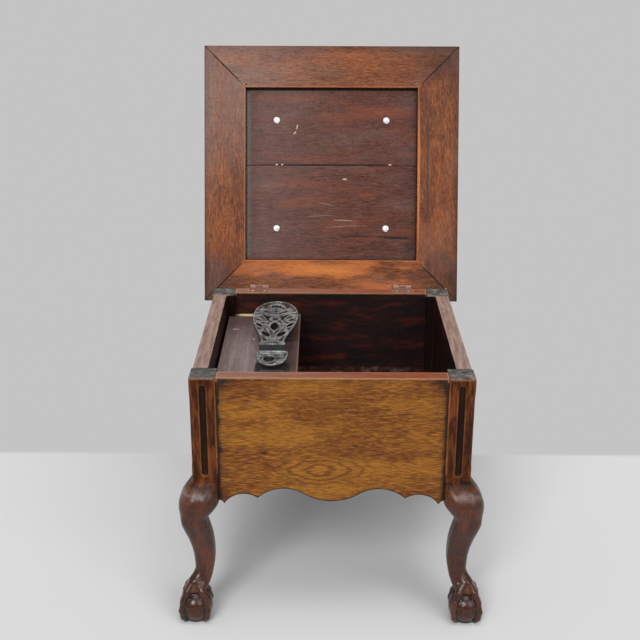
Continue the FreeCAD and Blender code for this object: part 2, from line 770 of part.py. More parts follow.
for label, turn in (("lid_frame_front", 0), ("lid_frame_right", 90), ("lid_frame_left", 270)):
    member = cut(label + "_cut", lid_member(label, turn), [tongue_grooves(label + "_groove")])
    named(on_lid(member), label)

lid_seats = leaf_seats("lid_seat", ("0", f"sizes.lid_leaf_width + {GAP}"),
                       ("-sizes.leaf_thick", f"sizes.leaf_thick + {GAP}"))
barrels = []
for index, side in enumerate(("-", "")):
    reach = "(sizes.hinge_length / 2 + sizes.barrel_room)"
    barrels.append(rod(f"lid_barrel_{index}", "sizes.knuckle_radius + sizes.barrel_room", f"2 * {reach}",
                       f"{side}{HINGE_X} - {reach}", "0", "0", ACROSS))
back_groove = tongue_grooves("lid_frame_back_groove")
back_member = cut("lid_frame_back_grooved", lid_member("lid_frame_back", 180), [back_groove])
back_seated = cut("lid_frame_back_seated", back_member, [fused("lid_hinge_room", lid_seats + barrels)])
named(on_lid(back_seated), "lid_frame_back")

def lid_board(label, y, tongue_y):
    """A board recessed in the frame, with a tongue on the three sides that the frame grips."""
    half = f"({LID_INNER} - {GAP})"
    reach = f"({LID_INNER} + sizes.tongue_length)"
    board = block(label + "_blank", (f"-{half}", half), y, (BOARD_UNDER, "sizes.lid_thick"))
    tongue = block(label + "_tongue", (f"-{reach}", reach), tongue_y,
                   (TONGUE_LOW, f"{TONGUE_LOW} + sizes.tongue_thick"))
    named(on_lid(fused(label + "_whole", [board, tongue])), label)


joint_back = "-sizes.lid_joint + sizes.board_gap / 2"
joint_front = "-sizes.lid_joint - sizes.board_gap / 2"
inner_back = f"{LID_MID} + {LID_INNER} - {GAP}"
inner_front = f"{LID_MID} - {LID_INNER} + {GAP}"
grip_back = f"{LID_MID} + {LID_INNER} + sizes.tongue_length"
grip_front = f"{LID_MID} - {LID_INNER} - sizes.tongue_length"
lid_board("lid_board_back", (joint_back, inner_back), (joint_back, grip_back))
lid_board("lid_board_front", (inner_front, joint_front), (grip_front, joint_front))


# Screws up through the lid boards into the padded seat

def pan_head():
    """A pan-head screw: a low head under the origin and a tapering shank above it."""
    shank = size("pan_shank")
    levels = [
        (-size("pan_height"), size("pan_crown")),
        (-size("pan_height") / 2, size("pan_head")),
        (0, size("pan_head")),
    ]
    head = turned_form(Vector(), levels, PAN_FLATS)
    return head.fuse(turned_form(Vector(), [(0, shank), (size("pan_length"), shank / 2)], SHANK_FLATS))


pan_screws = []
for side in ("-", ""):
    for way in ("-", "+"):
        screw = shaped("pan_screw_%d" % len(pan_screws), pan_head())
        pan_screws.append(at(screw, f"{side}sizes.pan_x", f"{LID_MID} {way} sizes.pan_y", BOARD_UNDER))
named(on_lid(together("pan_screw_group", pan_screws)), "lid_screws")


# Padded seat on the lid

PAD_TOP = "(sizes.lid_thick + sizes.pad_base_thick)"


def pad_base():
    """The board under the padding, with round corners."""
    half = "sizes.pad_side / 2"
    blank = block("pad_base_blank", (f"-{half}", half), (f"{LID_MID} - {half}", f"{LID_MID} + {half}"),
                  ("sizes.lid_thick", PAD_TOP))
    doc.recompute()
    rounded = doc.addObject("Part::Fillet", "pad_base_round")
    rounded.Base = blank
    upright = [index for index, edge in enumerate(blank.Shape.Edges, start=1) if edge.BoundBox.ZLength > NEAR]
    rounded.Edges = [(index, size("pad_corner"), size("pad_corner")) for index in upright]
    named(on_lid(rounded), "pad_base")


CROWN_STEPS = (0, 18, 34, 48, 60, 70, 79, 86)
PAD_SIDE_CHORDS = 4


def cushion():
    """The stuffed pad: drawn in at its foot, full at the sides and crowned on top."""
    middle = Vector(0, value(LID_MID))
    base = value(PAD_TOP)
    belly = size("pad_belly_rise")
    power = 2 / size("pad_crown_power")
    levels = [(size("pad_foot_half"), 0)]
    for step in CROWN_STEPS:
        half = size("pad_belly_half") * math.cos(math.radians(step)) ** power
        rise = (size("pad_crown_rise") - belly) * math.sin(math.radians(step)) ** power
        levels.append((half, belly + rise))
    outlines = []
    for half, rise in levels:
        radius = size("pad_round") * half / size("pad_belly_half")
        drawn_in = size("pad_drawn_in") * half / size("pad_belly_half")
        outlines.append(rounded_square(middle, half, radius, base + rise, drawn_in, PAD_SIDE_CHORDS))
    return carved(outlines)


pad_base()
named(on_lid(shaped("pad_cushion_loft", cushion())), "pad_cushion")


# Hinges: the box leaf has the two end knuckles and holds the pin, the lid leaf has the middle one

def hinge_leaf(name, x, y, z, plate_y, plate_z, shares):
    """A leaf with its knuckles about the hinge line at y, z."""
    half = "sizes.hinge_length / 2"
    flat = block(name + "_flat", (f"{x} - {half}", f"{x} + {half}"), plate_y, plate_z)
    room = "(sizes.knuckle_radius + sizes.knuckle_gap)"
    clear = "sizes.knuckle_gap / 2"
    knuckles = []
    gaps = []
    for index, (low, high, own) in enumerate(shares):
        grow = f"-{clear}" if own else clear
        span = (f"{x} + ({low}) - {grow}", f"{x} + ({high}) + {grow}")
        if own:
            long = f"({span[1]}) - ({span[0]})"
            knuckles.append(rod(f"{name}_knuckle_{index}", "sizes.knuckle_radius", long, span[0], y, z,
                                ACROSS))
        else:
            gaps.append(block(f"{name}_gap_{index}", span, (f"{y} - {room}", f"{y} + {room}"),
                              (f"{z} - {room}", f"{z} + {room}")))
    through_all = "sizes.hinge_length + 2 * sizes.knuckle_gap"
    bore = rod(name + "_bore", "sizes.pin_radius + sizes.pin_play", through_all,
               f"{x} - {half} - sizes.knuckle_gap", y, z, ACROSS)
    open_flat = cut(name + "_open", flat, gaps)
    whole = fused(name + "_whole", [open_flat] + knuckles)
    return cut(name + "_cut", whole, [bore])


middle_low = "-sizes.knuckle_share / 2"
middle_high = "sizes.knuckle_share / 2"
end_low = "-sizes.hinge_length / 2"
end_high = "sizes.hinge_length / 2"
for side, name in (("-", "left_hinge"), ("", "right_hinge")):
    x = f"{side}{HINGE_X}"
    box_y = (f"{HINGE_Y} - sizes.box_leaf_width", HINGE_Y)
    box_z = (f"{RIM} - sizes.leaf_thick", RIM)
    ends = [(end_low, middle_low, True), (middle_low, middle_high, False), (middle_high, end_high, True)]
    box_leaf = hinge_leaf(name + "_box", x, HINGE_Y, HINGE_Z, box_y, box_z, ends)
    named(box_leaf, name + "_box_leaf")
    centre = [(low, high, not own) for low, high, own in ends]
    lid_y = ("0", "sizes.lid_leaf_width")
    lid_z = ("0", "sizes.leaf_thick")
    lid_leaf = hinge_leaf(name + "_lid", x, "0", "0", lid_y, lid_z, centre)
    named(on_lid(lid_leaf), name + "_lid_leaf")
    pin = rod(name + "_pin_rod", "sizes.pin_radius", "sizes.hinge_length", f"{x} - sizes.hinge_length / 2",
              HINGE_Y, HINGE_Z, ACROSS)
    named(pin, name + "_pin")


# Checks and export

doc.recompute()
for item in doc.Objects:
    if {"Invalid", "Error"} & set(item.State):
        raise RuntimeError("%s failed: %s" % (item.Name, item.State))
os.makedirs("parts", exist_ok=True)
for item in SUBPARTS:
    if item.Shape.isNull() or not item.Shape.isValid():
        raise RuntimeError("%s has no valid shape" % item.Label)
for item in SUBPARTS:
    item.Shape.exportStep("parts/%s.step" % item.Label)
    print("%-20s solids %d  volume %10.1f" % (item.Label, len(item.Shape.Solids), item.Shape.Volume))
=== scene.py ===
"""Shoe shine footstool: carved legs, upholstery, casting, fittings, finishes and a plain studio."""
import math
from itertools import product

import bpy
import numpy as np
from mathutils import Matrix, Vector


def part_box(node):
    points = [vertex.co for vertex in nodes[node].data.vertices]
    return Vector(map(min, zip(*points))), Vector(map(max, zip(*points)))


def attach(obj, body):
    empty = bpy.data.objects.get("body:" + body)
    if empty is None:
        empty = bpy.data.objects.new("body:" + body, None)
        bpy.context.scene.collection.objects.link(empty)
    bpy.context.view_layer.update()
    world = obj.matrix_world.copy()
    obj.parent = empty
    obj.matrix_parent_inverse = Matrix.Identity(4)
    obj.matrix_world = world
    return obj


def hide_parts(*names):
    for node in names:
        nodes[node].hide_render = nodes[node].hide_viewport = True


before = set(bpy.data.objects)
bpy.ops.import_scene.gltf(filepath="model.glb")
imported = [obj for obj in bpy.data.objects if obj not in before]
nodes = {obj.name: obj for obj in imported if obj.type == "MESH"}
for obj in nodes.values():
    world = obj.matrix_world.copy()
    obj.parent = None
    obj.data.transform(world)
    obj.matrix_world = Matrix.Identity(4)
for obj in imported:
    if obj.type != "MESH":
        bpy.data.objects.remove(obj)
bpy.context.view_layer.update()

MM = 0.001
scene = bpy.context.scene

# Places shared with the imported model, in millimetres, and how far its lid stands open
MID_Y = -78.0
RIM = 396.0
POST_HALF = 19.0
POST_X = 184.0
POST_REACH = 176.0
HINGE_X = 124.7
HINGE_Y = 125.0
HINGE_Z = 396.3
LID_MID = -196.0
LID_HALF = 221.0
LID_INNER = 149.5
BOARD_UNDER = 10.0
SHELF_TOP = 357.5
REST_X = -91.0
REST_FEET = (-74.0, 62.0)
OPEN_ANGLE = math.radians(107.85)


def tone(red, green, blue):
    """A colour given as it looks on screen, 0 to 255, as the linear value that shaders take."""
    linear = []
    for level in (red, green, blue):
        part = level / 255.0
        linear.append(part / 12.92 if part <= 0.04045 else ((part + 0.055) / 1.055) ** 2.4)
    return (*linear, 1.0)


# Shaders, with lengths in metres, and colours of three numbers as they look on screen

OCCLUSION_SAMPLES = 8
EDGE_REACH = 0.003


class Field:
    """The output of a node, with the arithmetic that coordinates and factors need."""

    def __init__(self, shader, socket):
        self.shader = shader
        self.socket = socket

    def math(self, operation, other=0.0, clamp=False):
        return self.shader.add("Math", {0: self, 1: other}, operation=operation, use_clamp=clamp)

    def __add__(self, other):
        return self.math("ADD", other)

    def __sub__(self, other):
        return self.math("SUBTRACT", other)

    def __mul__(self, other):
        return self.math("MULTIPLY", other)

    def __abs__(self):
        return self.math("ABSOLUTE")

    def __or__(self, other):
        """The sum of two factors, 1 at most."""
        return self.math("ADD", other, clamp=True)

    def steps(self, low, high):
        """0 below low, 1 above high and a smooth change between, or the other way round."""
        inputs = {"Value": self, "From Min": low, "From Max": high}
        return self.shader.add("MapRange", inputs, interpolation_type="SMOOTHSTEP")

    def span(self, low, high):
        """The range 0 to 1 carried to another range."""
        return self.shader.add("MapRange", {"Value": self, "To Min": low, "To Max": high})

    def ragged(self, pattern, reach):
        """A coordinate shaken by a pattern, so that what is drawn from it has a ragged edge."""
        return self + (pattern - 0.5) * reach


class Shader:
    """A procedural material under construction: most methods add nodes and return a field."""

    def __init__(self, name, on_lid=False):
        self.material = bpy.data.materials.new(name)
        self.material.use_nodes = True
        self.tree = self.material.node_tree
        self.surface = self.tree.nodes["Principled BSDF"]
        self.where = self.place(on_lid)
        self.colour = None

    def put(self, socket, value):
        if isinstance(value, Field):
            self.tree.links.new(value.socket, socket)
        elif socket.type == "RGBA" and len(value) == 3:
            socket.default_value = tone(*value)
        else:
            socket.default_value = value

    def node(self, kind, inputs, **settings):
        node = self.tree.nodes.new("ShaderNode" + kind)
        for key, value in settings.items():
            setattr(node, key, value)
        for key, value in inputs.items():
            self.put(node.inputs[key], value)
        return node

    def add(self, kind, inputs, output=0, **settings):
        return Field(self, self.node(kind, inputs, **settings).outputs[output])

    def place(self, on_lid):
        """Places in the part's own frame, or in the frame of the closed lid."""
        where = self.add("TexCoord", {}, "Object")
        if not on_lid:
            return where
        turn = Matrix.Rotation(OPEN_ANGLE, 3, "X")
        shift = -(turn @ Vector((0, HINGE_Y * MM, HINGE_Z * MM)))
        return self.add("Mapping", {"Vector": where, "Rotation": (OPEN_ANGLE, 0, 0), "Location": shift})

    def stretch(self, vector, scale):
        return self.add("VectorMath", {0: vector, 1: scale}, operation="MULTIPLY")

    def shifted(self, vector, offset):
        return self.add("VectorMath", {0: vector, 1: offset}, operation="ADD")

    def length(self, vector):
        return self.add("VectorMath", {0: vector}, "Value", operation="LENGTH")

    def parts(self, vector):
        return [Field(self, socket) for socket in self.node("SeparateXYZ", {0: vector}).outputs]

    def facing(self):
        """The surface's own direction, in the part's frame."""
        return self.parts(self.add("TexCoord", {}, "Normal"))

    def noise(self, scale, detail=3.0, roughness=0.55, distortion=0.0, where=None):
        inputs = {"Vector": where or self.where, "Scale": scale, "Detail": detail, "Roughness": roughness,
                  "Distortion": distortion}
        return self.add("TexNoise", inputs, "Fac")

    def occlusion(self, distance, **settings):
        settings["samples"] = OCCLUSION_SAMPLES
        return self.add("AmbientOcclusion", {"Distance": distance}, "AO", **settings)

    def edge(self):
        """1 along the edges of a form, 0 away from them."""
        return self.occlusion(EDGE_REACH, inside=True, only_local=True).steps(0.97, 0.70)

    def crevice(self, distance):
        """1 deep in a corner or seam, 0 in the open."""
        return self.occlusion(distance).steps(0.85, 0.25)

    def attribute(self, name):
        return self.add("Attribute", {}, "Fac", attribute_name=name)

    def ramp(self, factor, *stops):
        node = self.node("ValToRGB", {"Fac": factor})
        band = node.color_ramp
        while len(band.elements) < len(stops):
            band.elements.new(0.5)
        for element, (position, colour) in zip(band.elements, stops):
            element.position = position
            element.color = tone(*colour)
        return Field(self, node.outputs["Color"])

    def graded(self, factor, spread, tones):
        """Dark, middle and light tones over a pattern with values about a half."""
        return self.ramp(factor, *zip((0.5 - spread, 0.5, 0.5 + spread), tones))

    def mix(self, factor, first, second):
        node = self.node("Mix", {"Factor": factor}, data_type="RGBA")
        colours = [socket for socket in node.inputs if socket.type == "RGBA"]
        self.put(colours[0], first)
        self.put(colours[1], second)
        return Field(self, [socket for socket in node.outputs if socket.type == "RGBA"][0])

    def shade(self, factor, colour, strength=1.0):
        """Lay a colour over what is there."""
        self.colour = self.mix(factor * strength, self.colour, colour)

    def coat(self, rough, height, depth, metallic=0.0):
        """Give the surface its colour, roughness and relief."""
        relief = self.add("Bump", {"Height": height, "Distance": depth, "Strength": 1.0}, "Normal")
        inputs = {"Base Color": self.colour, "Roughness": rough, "Normal": relief, "Metallic": metallic}
        for key, value in inputs.items():
            self.put(self.surface.inputs[key], value)
        return self.material


# Near-black brown, laid as dirt along seams and as painted shade in corners and crevices
GRIME_AND_SHADE = (20, 11, 7)
ON_TOP = (1.0, 1.0, 0.0)
SPOT_CORE = 0.55
WIDE_MARK = 5.0


class Wood(Shader):
    """Old timber: broad figure, streaks, fibre and pores, with stains, marks and dirt laid over them."""

    def __init__(self, name, along, tones, on_lid=False, seed=0.0, streaks=0.7, contrast=1.0):
        super().__init__(name, on_lid)
        self.along = along
        self.shine = 0.25
        self.spot_place = self.where
        self.x, self.y, self.z = self.parts(self.spot_place)
        self.where = self.shifted(self.spot_place, (seed, seed * 0.7, seed * 1.3))
        figure = self.grain(0.14, 0.011, 4.0, 0.5)
        streak = self.grain(0.024, 0.0024, 3.0, 0.5)
        fine = self.grain(0.012, 0.0015, 2.0)
        self.fibre = self.grain(0.02, 0.0009, 2.0)
        pores = self.grain(0.007, 0.0008, 1.0).steps(0.58, 0.70)
        blend = figure * (1.0 - streaks) + streak * (0.6 * streaks) + fine * (0.4 * streaks)
        self.colour = self.graded(blend, 0.09 / contrast, tones)
        self.shade(pores, tones[0], 0.4)
        self.rough = self.fibre.span(0.36, 0.54)
        self.height = self.fibre * 0.6 - pores * 0.8

    def grain(self, length, cross, detail, distortion=0.0, roughness=0.6, seed=0.0):
        """A pattern drawn out along the grain, from the size of its features."""
        scale = [1.0 / (length if axis == self.along else cross) for axis in "xyz"]
        where = self.stretch(self.shifted(self.where, (seed, seed, -seed)), scale)
        return self.noise(1.0, detail, roughness, distortion, where)

    def blotch(self, length, cross, low, high, seed, detail=3.0):
        """Soft patches drawn out along the grain."""
        return self.grain(length, cross, detail, 0.3, 0.55, seed).steps(low, high)

    def flecks(self, dark, pale, strength):
        """Short dark and pale dashes along the grain."""
        dash = self.grain(0.013, 0.0015, 1.0)
        self.shade(dash.steps(0.54, 0.66), dark, strength)
        self.shade(dash.steps(0.46, 0.34), pale, strength)

    def spot(self, middle, reach, turn=0.0, flat=ON_TOP, shake=0.004, core=SPOT_CORE):
        """1 inside an oval about a place on a face, with a ragged edge, and 0 outside it."""
        cloud = self.add("TexNoise", {"Vector": self.spot_place, "Scale": 260.0}, "Color")
        push = {0: self.shifted(cloud, [-0.5] * 3), 1: [shake] * 3, 2: self.spot_place}
        shaken = self.add("VectorMath", push, operation="MULTIPLY_ADD")
        inputs = {"Vector": self.stretch(shaken, flat), "Location": middle, "Rotation": (0.0, 0.0, turn),
                  "Scale": reach}
        return self.length(self.add("Mapping", inputs, vector_type="TEXTURE")).steps(1.0, core)

    def marks(self, rows):
        """Straight marks on the lid, in millimetres: (x0, y0, x1, y1, half width, colour, strength)."""
        for x0, y0, x1, y1, width, colour, strength in rows:
            half = math.hypot(x1 - x0, y1 - y0) / 2 * MM
            middle = ((x0 + x1) / 2 * MM, (y0 + y1) / 2 * MM, 0.0)
            turn = math.atan2(y1 - y0, x1 - x0)
            core = SPOT_CORE if width < WIDE_MARK else 0.0
            mark = self.spot(middle, (half, width * MM, 1.0), turn, shake=0.0014, core=core)
            self.shade(mark, colour, strength)

    def paint_corner_shade(self, distance, strength):
        """Painted shade in corners and seams, from ambient occlusion."""
        self.shade(self.crevice(distance), GRIME_AND_SHADE, strength)

    def dull(self, factor, roughness, strength=1.0):
        """Change the polish."""
        inputs = {"Factor": factor * strength, "A": self.rough, "B": roughness}
        self.rough = self.add("Mix", inputs, "Result")

    def done(self, depth=0.0003):
        self.surface.inputs["Specular IOR Level"].default_value = self.shine
        return self.coat(self.rough, self.height, depth)


# Dark, middle and light tones of each wood
PANEL_TONES = ((88, 42, 8), (117, 64, 14), (150, 96, 30))
POST_TONES = ((44, 18, 7), (78, 37, 13), (112, 60, 24))
LEG_TONES = ((28, 12, 6), (56, 26, 13), (90, 44, 21))
LID_TONES = ((82, 38, 16), (112, 60, 29), (146, 86, 46))
BOARD_TONES = ((58, 28, 20), (84, 44, 32), (112, 66, 51))
# The inner tones are dark unfinished wood, made darker still as painted shade inside the box
INNER_TONES = ((24, 9, 7), (42, 17, 12), (64, 29, 21))
SHELF_TONES = ((110, 95, 92), (132, 117, 114), (156, 142, 139))
RAIL_TONES = ((130, 102, 91), (152, 125, 114), (172, 147, 136))
PAD_BASE_TONES = ((40, 20, 10), (64, 34, 18), (92, 54, 30))

RIM_Z = RIM * MM
PANEL_HALF_X = (POST_X - POST_HALF) * MM
PANEL_HALF_Y = (POST_REACH - POST_HALF) * MM
SCALLOP_FADE = (0.26, 0.24)
RIM_FADE = (0.388, 0.392)
# Knots on a panel: (place along it, height, half length)
KNOTS = ((0.0335, 0.2896, 0.006), (-0.0993, 0.2776, 0.007))
KNOT_HALF_HEIGHT = 0.0032
# Pointed ovals on a panel: place along it and height of their middle, half length and half height
OVALS = (-0.0175, 0.250)
OVAL_LENGTH = 0.053
OVAL_HEIGHT = 0.020


def panel_wood(name, along, inward, seed):
    """A box side: figured outside, worn top, dark unpolished inside made darker with painted shade. Inward is
    +1 or -1 on its thin axis.
    """
    wood = Wood(name, along, PANEL_TONES, seed=seed, streaks=0.9, contrast=0.8)
    z, facing, wide = wood.z, wood.facing(), along == "x"
    middle, half = (0.0, PANEL_HALF_X) if wide else (MID_Y * MM, PANEL_HALF_Y)

    def spread(along_it, across_it, upright):
        return (along_it, across_it, upright) if wide else (across_it, along_it, upright)

    wood.shade(wood.blotch(0.16, 0.060, 0.34, 0.70, 1.7, 1.0), (98, 44, 10), 0.36)
    wood.shade(wood.blotch(0.11, 0.040, 0.40, 0.72, 4.1, 2.0), (176, 118, 34), 0.5)
    wood.flecks((62, 29, 8), (184, 122, 36), 0.42)
    wood.shade(wood.grain(0.014, 0.0026, 2.0, 1.2).steps(0.50, 0.64), (70, 32, 8), 0.34)
    cathedral(wood, spread(-middle - OVALS[0], 0.0, -OVALS[1]))
    for across, height, reach in KNOTS:
        centre = spread(middle + across, 0.0, height)
        knot = wood.spot(centre, (reach, reach, KNOT_HALF_HEIGHT), flat=spread(1.0, 0.0, 1.0))
        wood.shade(knot, (34, 18, 8), 0.75)
    aside = abs((wood.x if wide else wood.y) - middle)
    dirt = wood.noise(55.0, 4.0, 0.6)
    seam = aside.ragged(dirt, 0.012).steps(half - 0.0075, half + 0.001)
    beside = aside.steps(half - 0.020, half) * 0.3
    under_rim = z.steps(RIM_Z - 0.012, RIM_Z) * 0.35
    corner = aside.steps(half - 0.040, half) * z.steps(RIM_Z - 0.03, RIM_Z)
    soot = seam | beside | under_rim | corner
    wood.shade(soot * dirt.span(0.6, 1.2), GRIME_AND_SHADE)
    # Painted shade in corners and seams
    wood.paint_corner_shade(0.010, 0.8)
    rims = wood.edge()
    wood.shade(rims * z.steps(*SCALLOP_FADE), GRIME_AND_SHADE, 0.9)
    # Inside faces: dark unpolished wood, made darker still as painted shade inside the box
    inside = (facing[1 if wide else 0] * inward).steps(0.5, 0.8)
    rusty = wood.grain(0.06, 0.014, 4.0, 0.3)
    inner = wood.ramp(rusty, (0.36, (16, 7, 6)), (0.54, (34, 12, 9)), (0.70, (76, 24, 14)))
    speck = wood.noise(180.0, 2.0, 0.7).steps(0.66, 0.76)
    wood.shade(inside, wood.mix(speck * 0.3, inner, (100, 58, 48)))
    wood.dull(inside, 0.55)
    top = facing[2].steps(0.6, 0.85)
    rail = wood.graded(wood.grain(0.05, 0.006, 3.0), 0.18, RAIL_TONES)
    rubbed, rubbing = (176, 146, 132), 0.15
    if wide:
        bare = wood.x.steps(-0.16, 0.10).span(0.45, 1.0)
        rail = wood.mix(bare * dirt.span(0.6, 1.1), rail, (140, 62, 30))
        rubbed, rubbing = (208, 158, 108), 0.45
    wood.shade(top, rail)
    wood.dull(top, 0.55)
    wood.shade(rims * z.steps(*RIM_FADE), rubbed, rubbing)
    return wood.done()


def cathedral(wood, shift):
    """Long pointed ovals of darker grain low on the board, as a flat-sawn board shows."""
    local = wood.parts(wood.shifted(wood.spot_place, shift))
    across = (abs(local["xyz".index(wood.along)]) * (1 / OVAL_LENGTH)).math("POWER", 1.4)
    away = across + (abs(local[2]) * (1 / OVAL_HEIGHT)).math("POWER", 1.4)
    ring = (away * 12.0 + wood.grain(0.05, 0.010, 3.0, 0.6) * 9.0).math("SINE")
    wood.shade(ring.steps(0.0, 0.9) * away.steps(2.3, 0.9), (80, 34, 12), 0.62)


# Heights on a leg over which its finish changes, where its knees take a painted highlight, and where the
# hollow above them takes a dark smudge with painted shade
CARVED_FADE = (0.250, 0.196)
SHOULDER_RISE, SHOULDER_FALL = (0.194, 0.210), (0.225, 0.214)
COLLAR_RISE, COLLAR_FALL = (0.222, 0.231), (0.243, 0.233)
KNEE_POLISH = (0.228, 0.208)
BALL_POLISH = (0.066, 0.048)
POST_TOP = (0.3948, 0.3957)


def post_wood(name, shine):
    """The legs: upright grain on the posts, dark glossy carving below with a painted highlight on the knees,
    and painted shade making flutes and seams near-black and the hollow above the knee dark.
    """
    wood = Wood(name, "z", POST_TONES)
    wood.shine = shine
    z, inside = wood.z, wood.attribute("inside")
    low = z.ragged(wood.noise(34.0), 0.05).steps(*CARVED_FADE)
    wood.shade(wood.blotch(0.06, 0.012, 0.44, 0.60, 7.7), (44, 18, 6), 0.65)
    wood.shade(wood.blotch(0.05, 0.010, 0.52, 0.64, 9.9), (136, 74, 28), 0.42)
    wood.shade(low, wood.graded(wood.fibre, 0.2, LEG_TONES))
    wood.shade(wood.blotch(0.09, 0.030, 0.46, 0.70, 2.3, 2.0) * low, (122, 60, 26), 0.34)
    wood.shade(wood.attribute("worn") * wood.noise(70.0).span(0.0, 1.0), (176, 112, 66), 0.75)
    # Painted highlight, with some pale dust, on the up-facing shoulders of the knees
    shoulder = z.steps(*SHOULDER_RISE) * z.steps(*SHOULDER_FALL) * wood.facing()[2].steps(0.25, 0.75)
    wood.shade(shoulder * wood.noise(60.0).steps(0.36, 0.66), (168, 150, 142), 0.45)
    # Painted shade in the carving's crevices and flutes, and darker towards the foot's bottom
    wood.shade(wood.attribute("crevice"), GRIME_AND_SHADE, 0.96)
    # A dark smudge with painted shade in the hollow where the post flares into the knee
    collar = z.steps(*COLLAR_RISE) * z.steps(*COLLAR_FALL)
    wood.shade(collar * wood.noise(75.0).steps(0.46, 0.62), GRIME_AND_SHADE, 0.85)
    # Painted shade in corners and seams
    wood.paint_corner_shade(0.010, 0.6)
    # The post's faces inside the box take the darkest inner tone, dark wood darkened as painted shade
    wood.shade(inside, INNER_TONES[0])
    top = z.steps(*POST_TOP)
    stops = (0.36, (74, 72, 70)), (0.56, (102, 99, 96)), (0.74, (154, 136, 118))
    wood.shade(top, wood.ramp(wood.noise(95.0), *stops))
    wood.dull(z.steps(*KNEE_POLISH), 0.22, 0.9)
    wood.dull(z.steps(*BALL_POLISH), 0.17, 0.9)
    wood.dull(inside, 0.7)
    wood.dull(top, 0.6)
    return wood.done(0.0002)


# Marks on the lid: (x0, y0, x1, y1, half width, colour, strength)
PALE = (206, 186, 158)
BLACK = (30, 20, 17)
MITRES = [(x * LID_INNER, LID_MID + y * LID_INNER, x * LID_HALF, LID_MID + y * LID_HALF, 1.7, BLACK, 0.9)
          for x, y in product((-1, 1), (-1, 1))]
RIGHT_MARKS = [
    (167.5, -330, 167.9, -70, 2.2, (62, 50, 48), 0.8), (170, -60, 170, -18, 9.0, BLACK, 0.5),
    (167, -22, 172, -14, 3.4, PALE, 0.8), (172, -2, 179, 1, 3.6, PALE, 0.8),
    (188, 2.5, 204, 3, 2.4, PALE, 0.7), (205, -60, 214, 20, 8.0, BLACK, 0.45),
    (152.5, -345, 152.5, -50, 2.2, (214, 130, 70), 0.6)]
TOP_MARKS = [(-24, -361, -10, -359, 6.0, (70, 34, 20), 0.75), (-150, -350.5, -146, -350, 2.5, BLACK, 0.8)]
LOW_MARKS = [
    (-120, -31, 95, -29, 17.0, (216, 132, 66), 0.6), (120, -20, 170, -12, 14.0, (84, 52, 44), 0.6),
    (-140, -6, 60, -4, 8.0, (96, 54, 40), 0.5)]
BOARD_JOINT = (-170, -213.4, 170, -213.4, 1.5, BLACK, 0.95)
UPPER_BOARD_MARKS = [
    BOARD_JOINT, (-58.5, -284, -61.5, -273, 1.3, PALE, 0.85), (-61, -271.5, -67.2, -264.9, 1.3, PALE, 0.85),
    (-98, -213, -93, -213, 1.8, PALE, 0.9), (-89, -213, -83.5, -213, 1.8, PALE, 0.9),
    (99, -213.5, 106, -213.5, 1.6, PALE, 0.8)]
LOWER_BOARD_MARKS = [
    BOARD_JOINT, (18, -188, 28.5, -188, 1.5, PALE, 0.8), (-1.8, -117.2, 45.5, -114.8, 1.3, PALE, 0.32),
    (7.1, -89.2, 80, -88.5, 2.4, BLACK, 0.8), (70, -88, 149.2, -84.6, 2.8, BLACK, 0.95),
    (-50, -122, 10, -126, 1.3, PALE, 0.14), (-30, -150, 14, -139, 1.3, PALE, 0.15),
    (20, -262, 48, -262, 1.2, PALE, 0.3), (-20, -104, 70, -108, 1.2, PALE, 0.17),
    (120, -66, 150, -64, 17.0, (46, 40, 38), 0.7), (10, -52, 150, -50, 7.0, (58, 46, 42), 0.5)]


def lid_wood(name, along, seed, warmth, marks):
    """A lid frame member: orange-brown, stained reddish black, dusty and with a painted sheen towards the top
    left.
    """
    wood = Wood(name, along, LID_TONES, on_lid=True, seed=seed, streaks=0.76, contrast=0.78)
    x, y = wood.x, wood.y
    wood.shade(wood.blotch(0.11, 0.05, 0.42, 0.66, 3.1, 2.0), (84, 38, 24), 0.62 - warmth)
    wood.shade(wood.blotch(0.12, 0.04, 0.45, 0.64, 8.3, 2.0), (186, 102, 46), 0.2 + warmth)
    wood.flecks((54, 26, 14), (178, 106, 58), 0.3)
    outer = abs(y - LID_MID * MM) if along == "x" else abs(x)
    wood.shade(outer.steps(0.206, 0.221), (64, 30, 18), 0.45)
    foot = abs(x).steps(0.12, 0.20) * y.steps(-0.09, -0.01)
    head = x.steps(0.06, 0.20) * y.steps(-0.33, -0.39)
    wood.shade(foot | head, (50, 27, 19), 0.6)
    # Pale dust all over, and towards the top left a painted sheen
    left = x.steps(0.05, -0.17) * y.steps(-0.14, -0.34)
    dust = left * wood.noise(60.0, 4.0, 0.6).span(0.25, 1.0) | wood.blotch(0.14, 0.05, 0.46, 0.7, 5.3) * 0.2
    wood.shade(dust, (140, 119, 111), 0.7)
    wood.dull(dust, 0.6)
    # Painted shade in corners and seams
    wood.paint_corner_shade(0.007, 0.95)
    rims = wood.edge()
    wood.shade(rims * outer.steps(0.158, 0.153), (190, 112, 58), 0.6)
    wood.shade(rims * outer.steps(0.213, 0.217), (58, 32, 22), 0.6)
    wood.marks(marks + MITRES)
    return wood.done()


